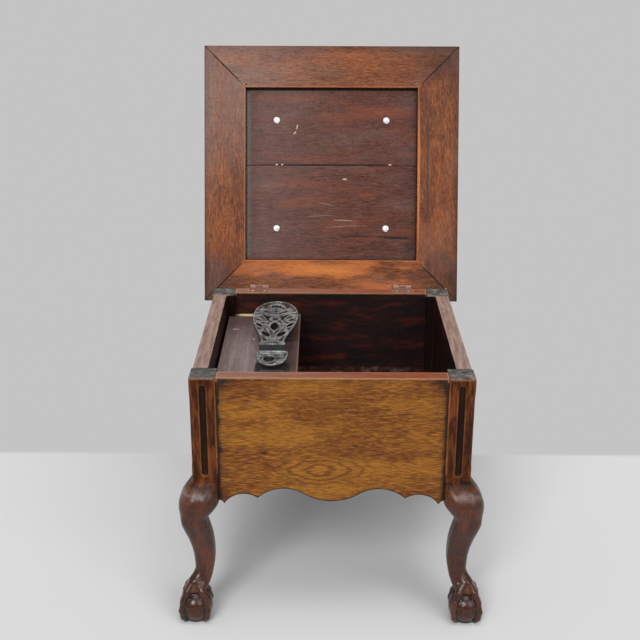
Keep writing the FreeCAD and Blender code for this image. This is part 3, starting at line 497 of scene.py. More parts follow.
def board_wood(name, seed, marks):
    """The recessed lid boards: dull red-brown with dust, a painted sheen towards the left, scratches, a dark
    seam and a painted shadow along the top edge.
    """
    wood = Wood(name, "x", BOARD_TONES, on_lid=True, seed=seed, streaks=0.9, contrast=0.6)
    x = wood.x
    wood.shade(wood.blotch(0.12, 0.022, 0.46, 0.70, 6.2), (122, 58, 34), 0.6)
    mottle = wood.noise(70.0, 4.0, 0.6)
    # Pale haze all over, and towards the left a painted sheen
    haze_and_sheen = x.steps(0.06, -0.14) * mottle.span(0.2, 0.9) | wood.blotch(0.14, 0.05, 0.45, 0.68, 1.9) * 0.4
    wood.shade(haze_and_sheen, (126, 108, 102), 0.5)
    wood.shade(abs(x).steps(0.11, 0.15) * mottle.span(0.2, 1.0), (44, 30, 26), 0.5)
    wood.shade(x.steps(-0.138, -0.148), (112, 112, 112), 0.6)
    wood.dull(haze_and_sheen, 0.66)
    # Painted shadow along the top of the board, under the frame's inner edge
    wood.shade(wood.y.steps(-0.3405, -0.3425), (10, 6, 5))
    # Painted shade in corners and seams
    wood.paint_corner_shade(0.012, 0.95)
    wood.marks(marks)
    return wood.done()


def inner_wood(name, along, tones, seed):
    """Boards inside the box: dry and dusty."""
    wood = Wood(name, along, tones, seed=seed)
    dust = wood.blotch(0.03, 0.016, 0.46, 0.80, 2.2)
    wood.shade(dust, (140, 124, 116), 0.3)
    # Painted shade in corners and seams
    wood.paint_corner_shade(0.02, 0.85)
    wood.dull(dust, 0.7)
    return wood.done()


# Pale spots on the shelf: (middle, reach, colour)
SHELF_SPOTS = (
    ((-0.145, 0.086, 0.0), (0.020, 0.008, 1.0), (240, 216, 160)),
    ((-0.126, -0.026, 0.0), (0.003, 0.004, 1.0), (214, 196, 180)),
    ((-0.158, 0.018, 0.0), (0.008, 0.0025, 1.0), (206, 184, 178)))


def shelf_wood():
    """The board under the shoe rest: grey with polish and dust, browner towards its back and right edges."""
    wood = Wood("shelf_wood", "y", SHELF_TONES, seed=0.6, streaks=0.5, contrast=0.6)
    smear = wood.noise(26.0, 4.0, 0.6)
    far = wood.y.steps(-0.06, 0.08) * smear.span(0.4, 1.2)
    right = wood.x.steps(-0.125, -0.075) * smear.span(0.5, 1.1)
    wood.shade(far | right, (74, 47, 43), 0.9)
    # Painted shade in corners and seams
    wood.paint_corner_shade(0.02, 0.6)
    for middle, reach, colour in SHELF_SPOTS:
        wood.shade(wood.spot(middle, reach), colour, 0.8)
    wood.shade(wood.edge() * smear.span(0.1, 0.7), (186, 150, 136))
    return wood.done()


def iron():
    """Blackened cast iron, rubbed grey on its high places."""
    shader = Shader("iron")
    grit = shader.noise(420.0, 4.0, 0.65)
    patch = shader.noise(90.0).steps(0.34, 0.66).span(0.2, 1.0)
    shader.colour = shader.ramp(grit, (0.3, (38, 39, 40)), (0.7, (72, 74, 75)))
    shader.shade(shader.attribute("hollow"), (18, 18, 18), 0.85)
    shader.shade(shader.attribute("worn") * patch, (164, 163, 158))
    # Painted shade in the casting's crevices
    shader.shade(shader.crevice(0.004), (14, 13, 13), 0.7)
    return shader.coat(grit.span(0.28, 0.48), grit, 0.0003, 0.2)


def metal(name, dark, light, roughness, metallic):
    """Turned or rolled metal with fine scratches and a dull film."""
    shader = Shader(name)
    film = shader.noise(160.0, 4.0, 0.6)
    scratch = shader.noise(1.0, 2.0, where=shader.stretch(shader.where, (180.0, 1400.0, 1400.0)))
    shader.colour = shader.ramp(film, (0.32, dark), (0.62, light))
    return shader.coat(film.span(roughness - 0.08, roughness + 0.14), scratch, 0.0001, metallic)


def hinge_metal(name, leaf):
    """An old butt hinge: dulled to the colour of the wood, with a painted highlight along the top of its
    barrel.
    """
    shader = Shader(name)
    film = shader.noise(220.0, 4.0, 0.6)
    off_axis = shader.shifted(shader.where, (0.0, -HINGE_Y * MM, -HINGE_Z * MM))
    away = shader.length(shader.stretch(off_axis, (0.0, 1.0, 1.0)))
    # Painted highlight along the top of the barrel
    barrel = away.steps(0.0044, 0.0030) * shader.facing()[2].steps(0.88, 0.99)
    shadow = [0.7 * level for level in tone(*leaf)[:3]] + [1.0]
    shader.colour = shader.mix(film, shadow, leaf)
    shader.shade(barrel, shader.ramp(film, (0.3, (150, 126, 112)), (0.6, (222, 202, 184))))
    return shader.coat(film.span(0.4, 0.62), film, 0.0002, 0.3)


def leather():
    """Dark brown upholstery leather: pebbled grain, uneven colour and painted shade in its creases."""
    shader = Shader("leather")
    pebble = shader.add("TexVoronoi", {"Vector": shader.where, "Scale": 620.0}, "Distance")
    soft = shader.noise(36.0, 4.0, 0.6)
    shader.colour = shader.ramp(soft, (0.3, (48, 24, 16)), (0.55, (84, 44, 28)), (0.75, (120, 70, 46)))
    # Painted shade in the creases
    shader.shade(shader.crevice(0.012), (22, 11, 8), 0.8)
    return shader.coat(soft.span(0.38, 0.56), pebble * 0.7 + shader.noise(190.0) * 0.6, 0.0006)


# Mesh helpers, in millimetres

def stand(name, data):
    """A new object in the scene."""
    item = bpy.data.objects.new(name, data)
    scene.collection.objects.link(item)
    return item


def piece(name, verts, faces, body, material):
    """A mesh piece in the part's frame, riding on a body."""
    mesh = bpy.data.meshes.new(name)
    mesh.from_pydata((np.asarray(verts) * MM).tolist(), [], [list(face) for face in faces])
    mesh.polygons.foreach_set("use_smooth", [True] * len(mesh.polygons))
    mesh.materials.append(material)
    mesh.update()
    item = stand(name, mesh)
    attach(item, body)
    return item


def paint(item, name, values):
    """A number at each vertex, for the shaders."""
    layer = item.data.attributes.new(name, "FLOAT", "POINT")
    layer.data.foreach_set("value", np.asarray(values, dtype=np.float32))


def modify(item, kind, **settings):
    """Add a modifier with its settings, and return its name."""
    modifier = item.modifiers.new(kind.lower(), kind)
    for key, value in settings.items():
        setattr(modifier, key, value)
    return modifier.name


def dress(node, material, width=0.8):
    """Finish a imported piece: its material, and softened edges over its own flat facets."""
    item = nodes[node]
    item.data.materials.clear()
    item.data.materials.append(material)
    modify(item, "WELD", merge_threshold=0.00001)
    modify(item, "DECIMATE", decimate_type="DISSOLVE", angle_limit=math.radians(1.0))
    modify(item, "BEVEL", width=width * MM, segments=2, limit_method="ANGLE",
           angle_limit=math.radians(35.0), harden_normals=True)


def on_lid(points):
    """Carry places on the closed lid, about its hinge line, to the open lid."""
    turn = np.array(Matrix.Rotation(-OPEN_ANGLE, 3, "X"))
    return np.asarray(points) @ turn.T + np.array((0.0, HINGE_Y, HINGE_Z))


def rounded(radius, *past):
    """Distance from a form with round edges, from how far places lie past each pair of its sides."""
    gaps = [side + radius for side in past]
    outside = np.sqrt(sum(np.maximum(gap, 0) ** 2 for gap in gaps))
    nearest = gaps[0]
    for gap in gaps[1:]:
        nearest = np.maximum(nearest, gap)
    return outside + np.minimum(nearest, 0) - radius


def merge(first, second, width):
    """The union of two forms with a fillet of a given width."""
    share = np.clip(0.5 + 0.5 * (second - first) / width, 0, 1)
    return second + (first - second) * share - width * share * (1 - share)


def fade(values, start, end):
    """0 at a start, 1 at an end and an even change between."""
    return np.clip((values - start) / (end - start), 0, 1)


def surface_net(values, axes):
    """A mesh of quads on the zero level of values sampled on a grid, negative inside."""
    inside = values < 0
    cells = tuple(n - 1 for n in values.shape)
    places = np.zeros(cells + (3,))
    count = np.zeros(cells)
    grid = np.stack(np.meshgrid(*axes, indexing="ij"), axis=-1)
    for first, axis in product(product((0, 1), repeat=3), range(3)):
        if first[axis]:
            continue
        second = first[:axis] + (1,) + first[axis + 1:]
        one, two = (tuple(slice(c, c + n) for c, n in zip(corner, cells)) for corner in (first, second))
        crossing = inside[one] != inside[two]
        gap = np.where(crossing, values[one] - values[two], 1.0)
        share = np.where(crossing, values[one] / gap, 0.0)[..., None]
        places += np.where(crossing[..., None], grid[one] + share * (grid[two] - grid[one]), 0.0)
        count += crossing
    used = count > 0
    index = np.full(cells, -1)
    index[used] = np.arange(used.sum())
    faces = []
    for axis in range(3):
        low, high = [slice(1, -1)] * 3, [slice(1, -1)] * 3
        low[axis], high[axis] = slice(0, -1), slice(1, None)
        start, end = inside[tuple(low)], inside[tuple(high)]
        for order, mask in ((1, start & ~end), (-1, ~start & end)):
            ring = []
            for steps in ((0, 0), (1, 0), (1, 1), (0, 1)):
                cell = np.argwhere(mask)
                cell[:, (axis + 1) % 3] += steps[0]
                cell[:, (axis + 2) % 3] += steps[1]
                ring.append(index[tuple(cell.T)])
            faces.append(np.stack(ring, axis=1)[:, ::order])
    return places[used] / count[used][:, None], np.concatenate(faces)


# Carved legs, as the zero level of a distance worked out from their forms

# Sections of the post with its knee, and of the leg: (height, offset on both axes, half side, corner radius)
KNEE = [
    (400, 0.0, 19.0, 1.4), (254, 0.0, 19.0, 1.4), (244, 0.0, 19.0, 2.0), (236, 0.1, 19.1, 4.0),
    (230, 0.9, 19.9, 7.0), (224, 3.1, 22.1, 12.0), (218, 5.8, 24.8, 17.0), (212, 8.0, 27.0, 20.0),
    (206, 9.5, 28.5, 22.0), (199, 10.7, 29.5, 23.0), (193, 12.2, 28.5, 23.0), (187, 14.3, 25.8, 20.0),
    (181, 16.2, 22.6, 18.0), (175, 17.8, 18.6, 15.0), (169, 18.0, 13.0, 11.0)]
SHANK = [
    (203, 14.0, 8.0, 6.0), (190, 17.6, 15.0, 10.0), (181, 18.6, 17.8, 11.5), (174, 18.5, 19.0, 11.5),
    (165, 17.3, 19.4, 11.3), (157, 15.4, 19.2, 11.0), (136, 10.2, 17.8, 10.0), (114, 6.8, 16.2, 9.5),
    (94, 5.9, 15.0, 9.0), (80, 7.0, 14.0, 9.0), (68, 10.2, 14.4, 10.0), (57, 15.4, 15.0, 12.0),
    (50, 18.6, 13.6, 12.0), (45, 20.2, 10.5, 10.0)]
SHANK_BLEND = 4.0
FOOT_OFFSET = 20.8
BALL_RADIUS = 25.4
BALL_HEIGHT = 22.6
BALL_BLEND = 0.8
# One talon, from the ankle and round the ball: (offset of an axis, reach from it, height, radius)
TALON = [
    (9.0, 3.0, 76.0, 4.4), (FOOT_OFFSET, 4.0, 63.0, 5.4), (FOOT_OFFSET, 16.2, 50.5, 5.6),
    (FOOT_OFFSET, 24.2, 37.5, 4.4), (FOOT_OFFSET, 27.6, 22.5, 4.7), (FOOT_OFFSET, 25.8, 10.5, 4.2),
    (FOOT_OFFSET, 21.0, 3.5, 3.4)]
TALON_TURNS = (45, 135, 225, 315)
TALON_BLEND = 1.6
WEB = 6.5
BASE_RADIUS = 17.0
BASE_HEIGHT = 3.0
BASE_BLEND = 5.0
FLUTE_RADIUS = 5.1
FLUTE_RISE = 1.1
FLUTE_SPAN = (241.0, 385.0)
CHAMFER = 4.5
CHAMFER_SPAN = (252.0, 376.0)
CHAMFER_STOP = 10.0
CHAMFER_RUN_OUT = 3.0
# The leg's grid: (start, end, step) across, and upwards close over the carving and wide along the post
LEG_PLAN = (-27.05, 59.0, 1.45)
LEG_LEVELS = [
    (-1.5, 88.0, 1.4), (88.0, 166.0, 2.4), (166.0, 258.0, 1.6), (258.0, 368.0, 5.0), (368.0, 400.0, 1.6)]
SLOPE_STEP = 0.4
CREVICE_REACH = 6.0
WEAR_DEPTH = 3.0
FLUTE_SHADE = 1.5
# Heights over which a foot darkens towards its bottom and its edges wear, and where a post is inside the box
FOOT_DARKENING = (7.0, 2.0)
FOOT_WEAR = (8.0, 14.0)
INNER_CORNER = (6.0, 7.0)
PANEL_FOOT = 215.0
GLOSS_HEIGHTS = (229.0, 223.0, 217.0, 211.0)
# Each leg: (side, end, turn)
CORNERS = {
    "back_right_leg": (1, 1, 0), "back_left_leg": (-1, 1, 90), "front_left_leg": (-1, -1, 180),
    "front_right_leg": (1, -1, 270)}


def through(heights, values, z):
    """A smooth curve through values at falling heights."""
    heights = np.asarray(heights[::-1], dtype=float)
    values = np.asarray(values[::-1], dtype=float)
    slopes = np.gradient(values, heights)
    spot = np.clip(np.searchsorted(heights, z) - 1, 0, len(heights) - 2)
    span = heights[spot + 1] - heights[spot]
    t = np.clip((z - heights[spot]) / span, 0.0, 1.0)
    start = (1 + 2 * t) * (1 - t) ** 2 * values[spot] + t * (1 - t) ** 2 * span * slopes[spot]
    end = t * t * (3 - 2 * t) * values[spot + 1] + t * t * (t - 1) * span * slopes[spot + 1]
    return start + end


def limb(x, y, z, start, end, start_radius, end_radius):
    """Distance from a tapering round limb between two places."""
    start = np.asarray(start, dtype=float)
    reach = np.asarray(end, dtype=float) - start
    gaps = [value - first for value, first in zip((x, y, z), start)]
    t = np.clip(sum(gap * far for gap, far in zip(gaps, reach)) / (reach @ reach), 0, 1)
    away = sum((gap - t * far) ** 2 for gap, far in zip(gaps, reach))
    return np.sqrt(away) - (start_radius + t * (end_radius - start_radius))


def flute_distance(across, out, z):
    """Distance from the round groove down the middle of an outer face."""
    low, high = FLUTE_SPAN[0] + FLUTE_RADIUS, FLUTE_SPAN[1] - FLUTE_RADIUS
    beyond = z - np.clip(z, low, high)
    return np.sqrt(across ** 2 + (out - POST_HALF - FLUTE_RISE) ** 2 + beyond ** 2) - FLUTE_RADIUS


def sections(table, x, y, z):
    """Distance from a form through level sections, closed above and below."""
    heights, *columns = zip(*table)
    offset, half, radius = (through(heights, column, z) for column in columns)
    side = rounded(radius, np.abs(x - offset) - half, np.abs(y - offset) - half)
    return np.maximum(side, np.maximum(z - heights[0], heights[-1] - z))


def leg_distance(x, y, z):
    """Distance from one whole leg about its post's axis, its outer corner towards +X +Y."""
    post = np.maximum(sections(KNEE, x, y, z), z - RIM)
    low, high = CHAMFER_SPAN
    stop = fade(z, low, low + CHAMFER_STOP) * fade(z, high, high - CHAMFER_STOP)
    limit = 2 * POST_HALF - CHAMFER * stop + CHAMFER_RUN_OUT * np.maximum(low - z, 0)
    post = np.maximum(post, (x + y - limit) * math.sqrt(0.5))
    post = np.maximum(post, -flute_distance(y, x, z))
    post = np.maximum(post, -flute_distance(x, y, z))
    whole = merge(post, sections(SHANK, x, y, z), SHANK_BLEND)
    for turn in TALON_TURNS:
        aim = np.array((math.cos(math.radians(turn)), math.sin(math.radians(turn))))
        path = [(*(offset + reach * aim), height) for offset, reach, height, radius in TALON]
        talon = None
        for i in range(len(TALON) - 1):
            bone = limb(x, y, z, path[i], path[i + 1], TALON[i][3], TALON[i + 1][3])
            talon = merge(talon, bone, TALON_BLEND) if i else bone
        whole = merge(whole, talon, WEB)
    from_axis = (x - FOOT_OFFSET) ** 2 + (y - FOOT_OFFSET) ** 2
    whole = merge(whole, np.sqrt(from_axis + (z - BALL_HEIGHT) ** 2) - BALL_RADIUS, BALL_BLEND)
    base = np.maximum(np.sqrt(from_axis) - BASE_RADIUS, z - BASE_HEIGHT)
    return np.maximum(merge(whole, base, BASE_BLEND), -z)


def carve_leg():
    """The leg's mesh, with how far each place lies in a corner, on an edge and inside the box."""
    plan = np.arange(*LEG_PLAN)
    levels = np.concatenate([np.arange(*span) for span in LEG_LEVELS])
    values = leg_distance(plan[:, None, None], plan[None, :, None], levels[None, None, :])
    verts, faces = surface_net(values, (plan, plan, levels))
    x, y, z = verts.T
    slope = np.stack([leg_distance(*(verts + step).T) - leg_distance(*(verts - step).T)
                      for step in SLOPE_STEP * np.eye(3)], axis=1)
    normal = slope / np.maximum(np.linalg.norm(slope, axis=1), 1e-9)[:, None]
    # Painted shade: 1 deep in a crevice, from the distance a little way out along the normal
    crevice = np.clip(1.0 - leg_distance(*(verts + normal * CREVICE_REACH).T) / CREVICE_REACH, 0, 1)
    worn = np.clip(1.0 + leg_distance(*(verts - normal * WEAR_DEPTH).T) / WEAR_DEPTH, 0, 1)
    flutes = np.minimum(flute_distance(y, x, z), flute_distance(x, y, z))
    sunk = fade(np.maximum(x, y), POST_HALF, POST_HALF - FLUTE_SHADE) * (np.abs(flutes) < 1.0)
    # Painted shade in crevices and flutes, and darker towards the foot's bottom
    dark = np.maximum(np.maximum(crevice * 1.5, sunk * 0.9), fade(z, *FOOT_DARKENING))
    inside = fade(np.minimum(-x, -y), *INNER_CORNER) * (z > PANEL_FOOT)
    paints = {"crevice": np.clip(dark, 0, 1), "inside": inside,
              "worn": np.clip(worn * fade(z, *FOOT_WEAR) * 2.6 - 0.15, 0, 1)}
    return verts, faces, paints


def legs(finishes):
    """The four legs, each turned to its own corner, dull above the knee and glossier below by steps."""
    verts, faces, paints = carve_leg()
    middles = verts[faces][:, :, 2].mean(axis=1)
    gloss = np.searchsorted([-height for height in GLOSS_HEIGHTS], -middles).astype(np.int32)
    for node, (side, end, turn) in CORNERS.items():
        turned = verts @ np.array(Matrix.Rotation(math.radians(turn), 3, "Z")).T
        moved = turned + np.array((side * POST_X, MID_Y + end * POST_REACH, 0.0))
        leg = piece("carved_" + node, moved, faces, "stool", finishes[0])
        for finish in finishes[1:]:
            leg.data.materials.append(finish)
        leg.data.polygons.foreach_set("material_index", gloss)
        for name, values in paints.items():
            paint(leg, name, values)
        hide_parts(node)


# Shoe rest: a casting with a raised rim, scrollwork and pierced leaves, about its own middle

SOLE_TOP = 391.0
HEEL_TOP = 379.0
PLATE = 5.0
RELIEF = 2.6
RIM_WIDTH = 3.4
SOLE_SIDE = [
    (0, 143), (13, 139), (22.5, 131), (29.5, 119), (34.3, 105), (36.8, 88), (37.3, 70), (36.2, 52),
    (33.6, 34), (29.5, 16), (24.8, -2), (20.6, -20), (18.4, -34), (18.9, -44), (20.3, -51)]
HEEL_SIDE = [(24.3, -51), (24.6, -60), (24.0, -71), (21.6, -85), (17.0, -95), (9.5, -102), (0, -104.5)]
STAR_HOLE = [(24.5, 83), (14.6, 75), (5.2, 71), (9.6, 63), (11.5, 51), (16.2, 67.5)]
TOE_HOLE = [(-9, 110), (0, 114), (9, 110), (7, 121), (0, 124), (-7, 121)]
# Leaf-shaped openings: (start, end, radius of their sides)
LEAF_HOLES = [
    ((0, 44), (0, 8), 30.0), ((31, 61), (22, 50), 11.0), ((29.5, 43), (20, 22), 24.0),
    ((17.5, 5), (6.5, -19), 20.0)]
SOLE_GROUND = 0.3
SOLE_VEINS = [
    [(0, -30), (0, 6)], [(3.5, -29), (5.5, -8), (9.5, 12), (9.5, 32), (4, 46), (0, 50)],
    [(8, -28), (19.5, -8), (22, 8), (17, 14)], [(11, 12), (16, 26), (22, 38), (31, 49)],
    [(12, 44), (18, 50), (26, 64), (33, 70)], [(5, 54), (7, 60), (3, 66), (0, 67)],
    [(0, 76), (6, 80), (14, 84), (24, 90), (32, 90)],
    [(2, 88), (8, 92), (14, 102), (14, 114), (8, 128), (0, 130)], [(14, 102), (20, 106), (24, 116)],
    [(18, 30), (27, 34)], [(19, 56), (29, 66)], [(-1, -36), (9, -38), (15, -43)]]
# Scrolls: (middle, start radius, end radius, start turn, turns)
SOLE_SCROLLS = [
    ((24.5, 101), 6.4, 1.6, 160, 1.3), ((5.5, 100), 5.0, 1.6, -60, 1.2), ((29, 78), 5.0, 1.4, 140, 1.2),
    ((15.5, 34.5), 5.0, 1.5, -120, 1.2)]
VEIN_HALF = 2.3
# The heel's oval opening: middle, then half sizes
HEEL_HOLE = (-4.0, -79.0, 8.4, 10.6)
HEEL_VEINS = [
    [(-20, -62), (-19, -78), (-15, -90), (-6, -97)], [(4, -98), (10, -94), (19, -80)],
    [(-18, -57), (0, -60), (18, -57)]]
HEEL_SCROLLS = [
    ((14.0, -68), 5.8, 1.4, 200, 1.3), ((12.5, -86), 5.4, 1.4, -160, 1.3), ((-16.5, -67), 4.2, 1.4, 0, 1.2)]
CASTING_GRID = ((-40.5, 40.6, 0.9), (-108.0, 147.0, 0.9), (356.2, 393.0, 0.8))
# Blocks under the plates: half size across, half size along
STEP_BLOCK = (20.3, 3.4)
STEP_PLACE = -49.0
SHAFT = (18.0, 15.0)
FLANGE = (26.0, 19.0)
FLANGE_HEIGHT = 4.0
FLANGE_BLEND = 3.0


def curve(points, count=6):
    """Places on a smooth line through the given ones."""
    points = np.asarray(points, dtype=float)
    rows = np.vstack([2 * points[0] - points[1], points, 2 * points[-1] - points[-2]])
    line = []
    for i in range(1, len(rows) - 2):
        a, b, c, d = rows[i - 1:i + 3]
        for t in np.arange(count) / count:
            line.append(b + 0.5 * t * (c - a + t * (2 * a - 5 * b + 4 * c - d + t * (3 * b - a - 3 * c + d))))
    line.append(points[-1])
    return np.array(line)


def stroke_distance(x, y, line):
    """Distance in plan from an open line."""
    nearest = np.full(x.shape, np.inf)
    for (ax, ay), (bx, by) in zip(line[:-1], line[1:]):
        reach = max((bx - ax) ** 2 + (by - ay) ** 2, 1e-9)
        t = np.clip(((x - ax) * (bx - ax) + (y - ay) * (by - ay)) / reach, 0, 1)
        nearest = np.minimum(nearest, np.hypot(x - ax - t * (bx - ax), y - ay - t * (by - ay)))
    return nearest


def ring_distance(x, y, ring):
    """Distance in plan from a closed outline, negative inside."""
    inside = np.zeros(x.shape, dtype=bool)
    for (ax, ay), (bx, by) in zip(ring, np.roll(ring, -1, axis=0)):
        if ay != by:
            inside ^= ((ay > y) != (by > y)) & (x < ax + (y - ay) * (bx - ax) / (by - ay))
    nearest = stroke_distance(x, y, np.vstack([ring, ring[:1]]))
    return np.where(inside, -nearest, nearest)


def lens_distance(x, y, start, end, arc):
    """Distance in plan from a leaf between two points, with sides of a given radius."""
    start, end = np.asarray(start, dtype=float), np.asarray(end, dtype=float)
    chord = end - start
    half = np.hypot(*chord) / 2
    off = np.array((-chord[1], chord[0])) / (2 * half) * math.sqrt(arc ** 2 - half ** 2)
    middle = (start + end) / 2
    one, two = middle + off, middle - off
    return np.maximum(np.hypot(x - one[0], y - one[1]), np.hypot(x - two[0], y - two[1])) - arc


def spiral(middle, start_radius, end_radius, start_turn, turns):
    """A scroll winding in to a point."""
    t = np.linspace(0, 1, 22)
    radius = start_radius + (end_radius - start_radius) * t
    turn = math.radians(start_turn) + 2 * math.pi * turns * t
    return np.stack([middle[0] + radius * np.cos(turn), middle[1] + radius * np.sin(turn)], axis=1)


def ridge(distance, half_width):
    """A half-round moulding along a line, 0 to 1."""
    return np.sqrt(np.clip(1.0 - (distance / half_width) ** 2, 0, 1))


def mouldings(x, y, outline, holes, veins, scrolls):
    """The height of a plate's relief: its rim, the borders of its openings and ribs over a sunk ground."""
    relief = np.maximum(SOLE_GROUND, ridge(outline + RIM_WIDTH / 2, RIM_WIDTH / 2 + 0.2))
    relief = np.maximum(relief, 0.85 * ridge(holes - 1.6, 2.0))
    for line in [curve(vein) for vein in veins] + [spiral(*scroll) for scroll in scrolls]:
        relief = np.maximum(relief, 0.95 * ridge(stroke_distance(x, y, line), VEIN_HALF))
    return relief


def sole_plan(x, y):
    """The sole from above: distance from its outline and from its openings, and the height of its relief."""
    side = curve(SOLE_SIDE)
    outline = ring_distance(x, y, np.vstack([side, side[:0:-1] * (-1, 1)]))
    aside = np.abs(x)
    holes = np.minimum(ring_distance(aside, y, np.array(STAR_HOLE)), ring_distance(x, y, np.array(TOE_HOLE)))
    for leaf in LEAF_HOLES:
        holes = np.minimum(holes, lens_distance(aside, y, *leaf))
    return outline, holes, mouldings(aside, y, outline, holes, SOLE_VEINS, SOLE_SCROLLS)


def heel_plan(x, y):
    """The heel from above, the same way."""
    side = curve(HEEL_SIDE)
    outline = ring_distance(x, y, np.vstack([side, side[-2::-1] * (-1, 1)]))
    middle_x, middle_y, half_x, half_y = HEEL_HOLE
    holes = (np.hypot((x - middle_x) / half_x, (y - middle_y) / half_y) - 1.0) * half_x
    return outline, holes, mouldings(x, y, outline, holes, HEEL_VEINS, HEEL_SCROLLS)


def block(place, halves, middle_y, low, high, radius):
    """Distance from an upright block with round edges."""
    x, y, z = place
    upright = np.abs(z - (low + high) / 2) - (high - low) / 2
    return rounded(radius, np.abs(x) - halves[0], np.abs(y - middle_y) - halves[1], upright)


def casting(material):
    """The cast sole and heel on their two feet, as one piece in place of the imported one."""
    xs, ys, zs = (np.arange(*span) for span in CASTING_GRID)
    x, y = np.meshgrid(xs, ys, indexing="ij")
    place = (x[:, :, None], y[:, :, None], zs[None, None, :])
    whole = block(place, STEP_BLOCK, STEP_PLACE, HEEL_TOP - PLATE, SOLE_TOP, 1.0)
    for plan, top in ((sole_plan, SOLE_TOP), (heel_plan, HEEL_TOP)):
        outline, holes, relief = plan(x, y)
        surface = top - RELIEF * (1.0 - relief)
        slab = np.maximum(np.maximum(outline, -holes)[:, :, None], (place[2] - surface[:, :, None]) * 0.8)
        whole = np.minimum(whole, np.maximum(slab, top - PLATE - place[2]))
    for foot, under in zip(REST_FEET, (HEEL_TOP, SOLE_TOP)):
        shaft = block(place, SHAFT, foot, SHELF_TOP + 1.0, under - PLATE + 1.0, 2.0)
        flange = block(place, FLANGE, foot, SHELF_TOP, SHELF_TOP + FLANGE_HEIGHT, 1.2)
        whole = np.minimum(whole, merge(shaft, flange, FLANGE_BLEND))
    verts, faces = surface_net(whole, (xs, ys, zs))
    item = piece("cast_shoe_rest", verts + np.array((REST_X, MID_Y, 0.0)), faces, "stool", material)
    local_y, local_z = verts[:, 1], verts[:, 2]

    def high(top):
        return fade(local_z, top - 1.7, top - 0.2)

    def sunk(top):
        return (local_z > top - PLATE + 0.8) * fade(local_z, top - 1.3, top - 2.3)

    on_heel = (local_z < HEEL_TOP + 1.0) * (local_y < -45.0)
    paint(item, "worn", np.maximum(high(SOLE_TOP), high(HEEL_TOP) * on_heel))
    paint(item, "hollow", np.maximum(sunk(SOLE_TOP) * (local_y > -44.0), sunk(HEEL_TOP) * (local_y < -53.0)))
    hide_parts("shoe_rest")


# Upholstery, with the cushion in metres and the piping in millimetres

TAKEN_IN = 0.985
VOXEL = 0.006
HELD_HEIGHT = 0.004
PRESSURE = 4.0
BLOWN_FRAMES = 20
LONGEST_MOVE = 0.006
PAD_FOOT = 31.0
WELT_HALF = 188.0
WELT_CORNER = 30.0
WELT_RADIUS = 2.9
WELT_DRAWN_IN = 4.5
WELT_ROUND = 10
WELT_STATIONS = 360
WELT_CORNER_STEPS = 12


def apply(item, kind, **settings):
    """Put a modifier into the mesh of the active object."""
    bpy.ops.object.modifier_apply(modifier=modify(item, kind, **settings))


def cushion(material):
    """The stuffed pad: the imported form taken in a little, filled by air pressure and smoothed."""
    mesh = nodes["pad_cushion"].data.copy()
    mesh.name = "cushion"
    item = stand("cushion", mesh)
    mesh.materials.clear()
    mesh.materials.append(material)
    low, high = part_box("pad_cushion")
    middle = (Vector(low) + Vector(high)) / 2
    for vertex in mesh.vertices:
        vertex.co = middle + (vertex.co - middle) * TAKEN_IN
    bpy.context.view_layer.objects.active = item
    item.select_set(True)
    apply(item, "REMESH", mode="VOXEL", voxel_size=VOXEL)
    inflate(item)
    apply(item, "SMOOTH", iterations=4)
    apply(item, "SUBSURF", levels=1, render_levels=1)
    mesh.polygons.foreach_set("use_smooth", [True] * len(mesh.polygons))
    item.select_set(False)
    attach(item, "lid")
    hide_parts("pad_cushion")


def inflate(item):
    """Blow the pad up as cloth, with its underside held on its board and no point moving far."""
    mesh = item.data
    start = np.array([vertex.co[:] for vertex in mesh.vertices])
    shut = np.array(Matrix.Rotation(OPEN_ANGLE, 3, "X"))
    rise = ((start - np.array((0.0, HINGE_Y * MM, HINGE_Z * MM))) @ shut.T)[:, 2]
    held = item.vertex_groups.new(name="held")
    held.add([int(i) for i in np.flatnonzero(rise < rise.min() + HELD_HEIGHT)], 1.0, "REPLACE")
    cloth = item.modifiers.new("cloth", "CLOTH")
    cloth.settings.use_pressure = True
    cloth.settings.uniform_pressure_force = PRESSURE
    cloth.settings.vertex_group_mass = "held"
    cloth.settings.effector_weights.gravity = 0.0
    for step in range(1, BLOWN_FRAMES + 1):
        scene.frame_set(step)
    shaped = item.evaluated_get(bpy.context.evaluated_depsgraph_get()).data
    move = np.array([vertex.co[:] for vertex in shaped.vertices]) - start
    item.modifiers.remove(cloth)
    scene.frame_set(1)
    length = np.linalg.norm(move, axis=1)
    end = start + move * np.minimum(1.0, LONGEST_MOVE / np.maximum(length, 1e-9))[:, None]
    mesh.vertices.foreach_set("co", end.ravel())
    mesh.update()


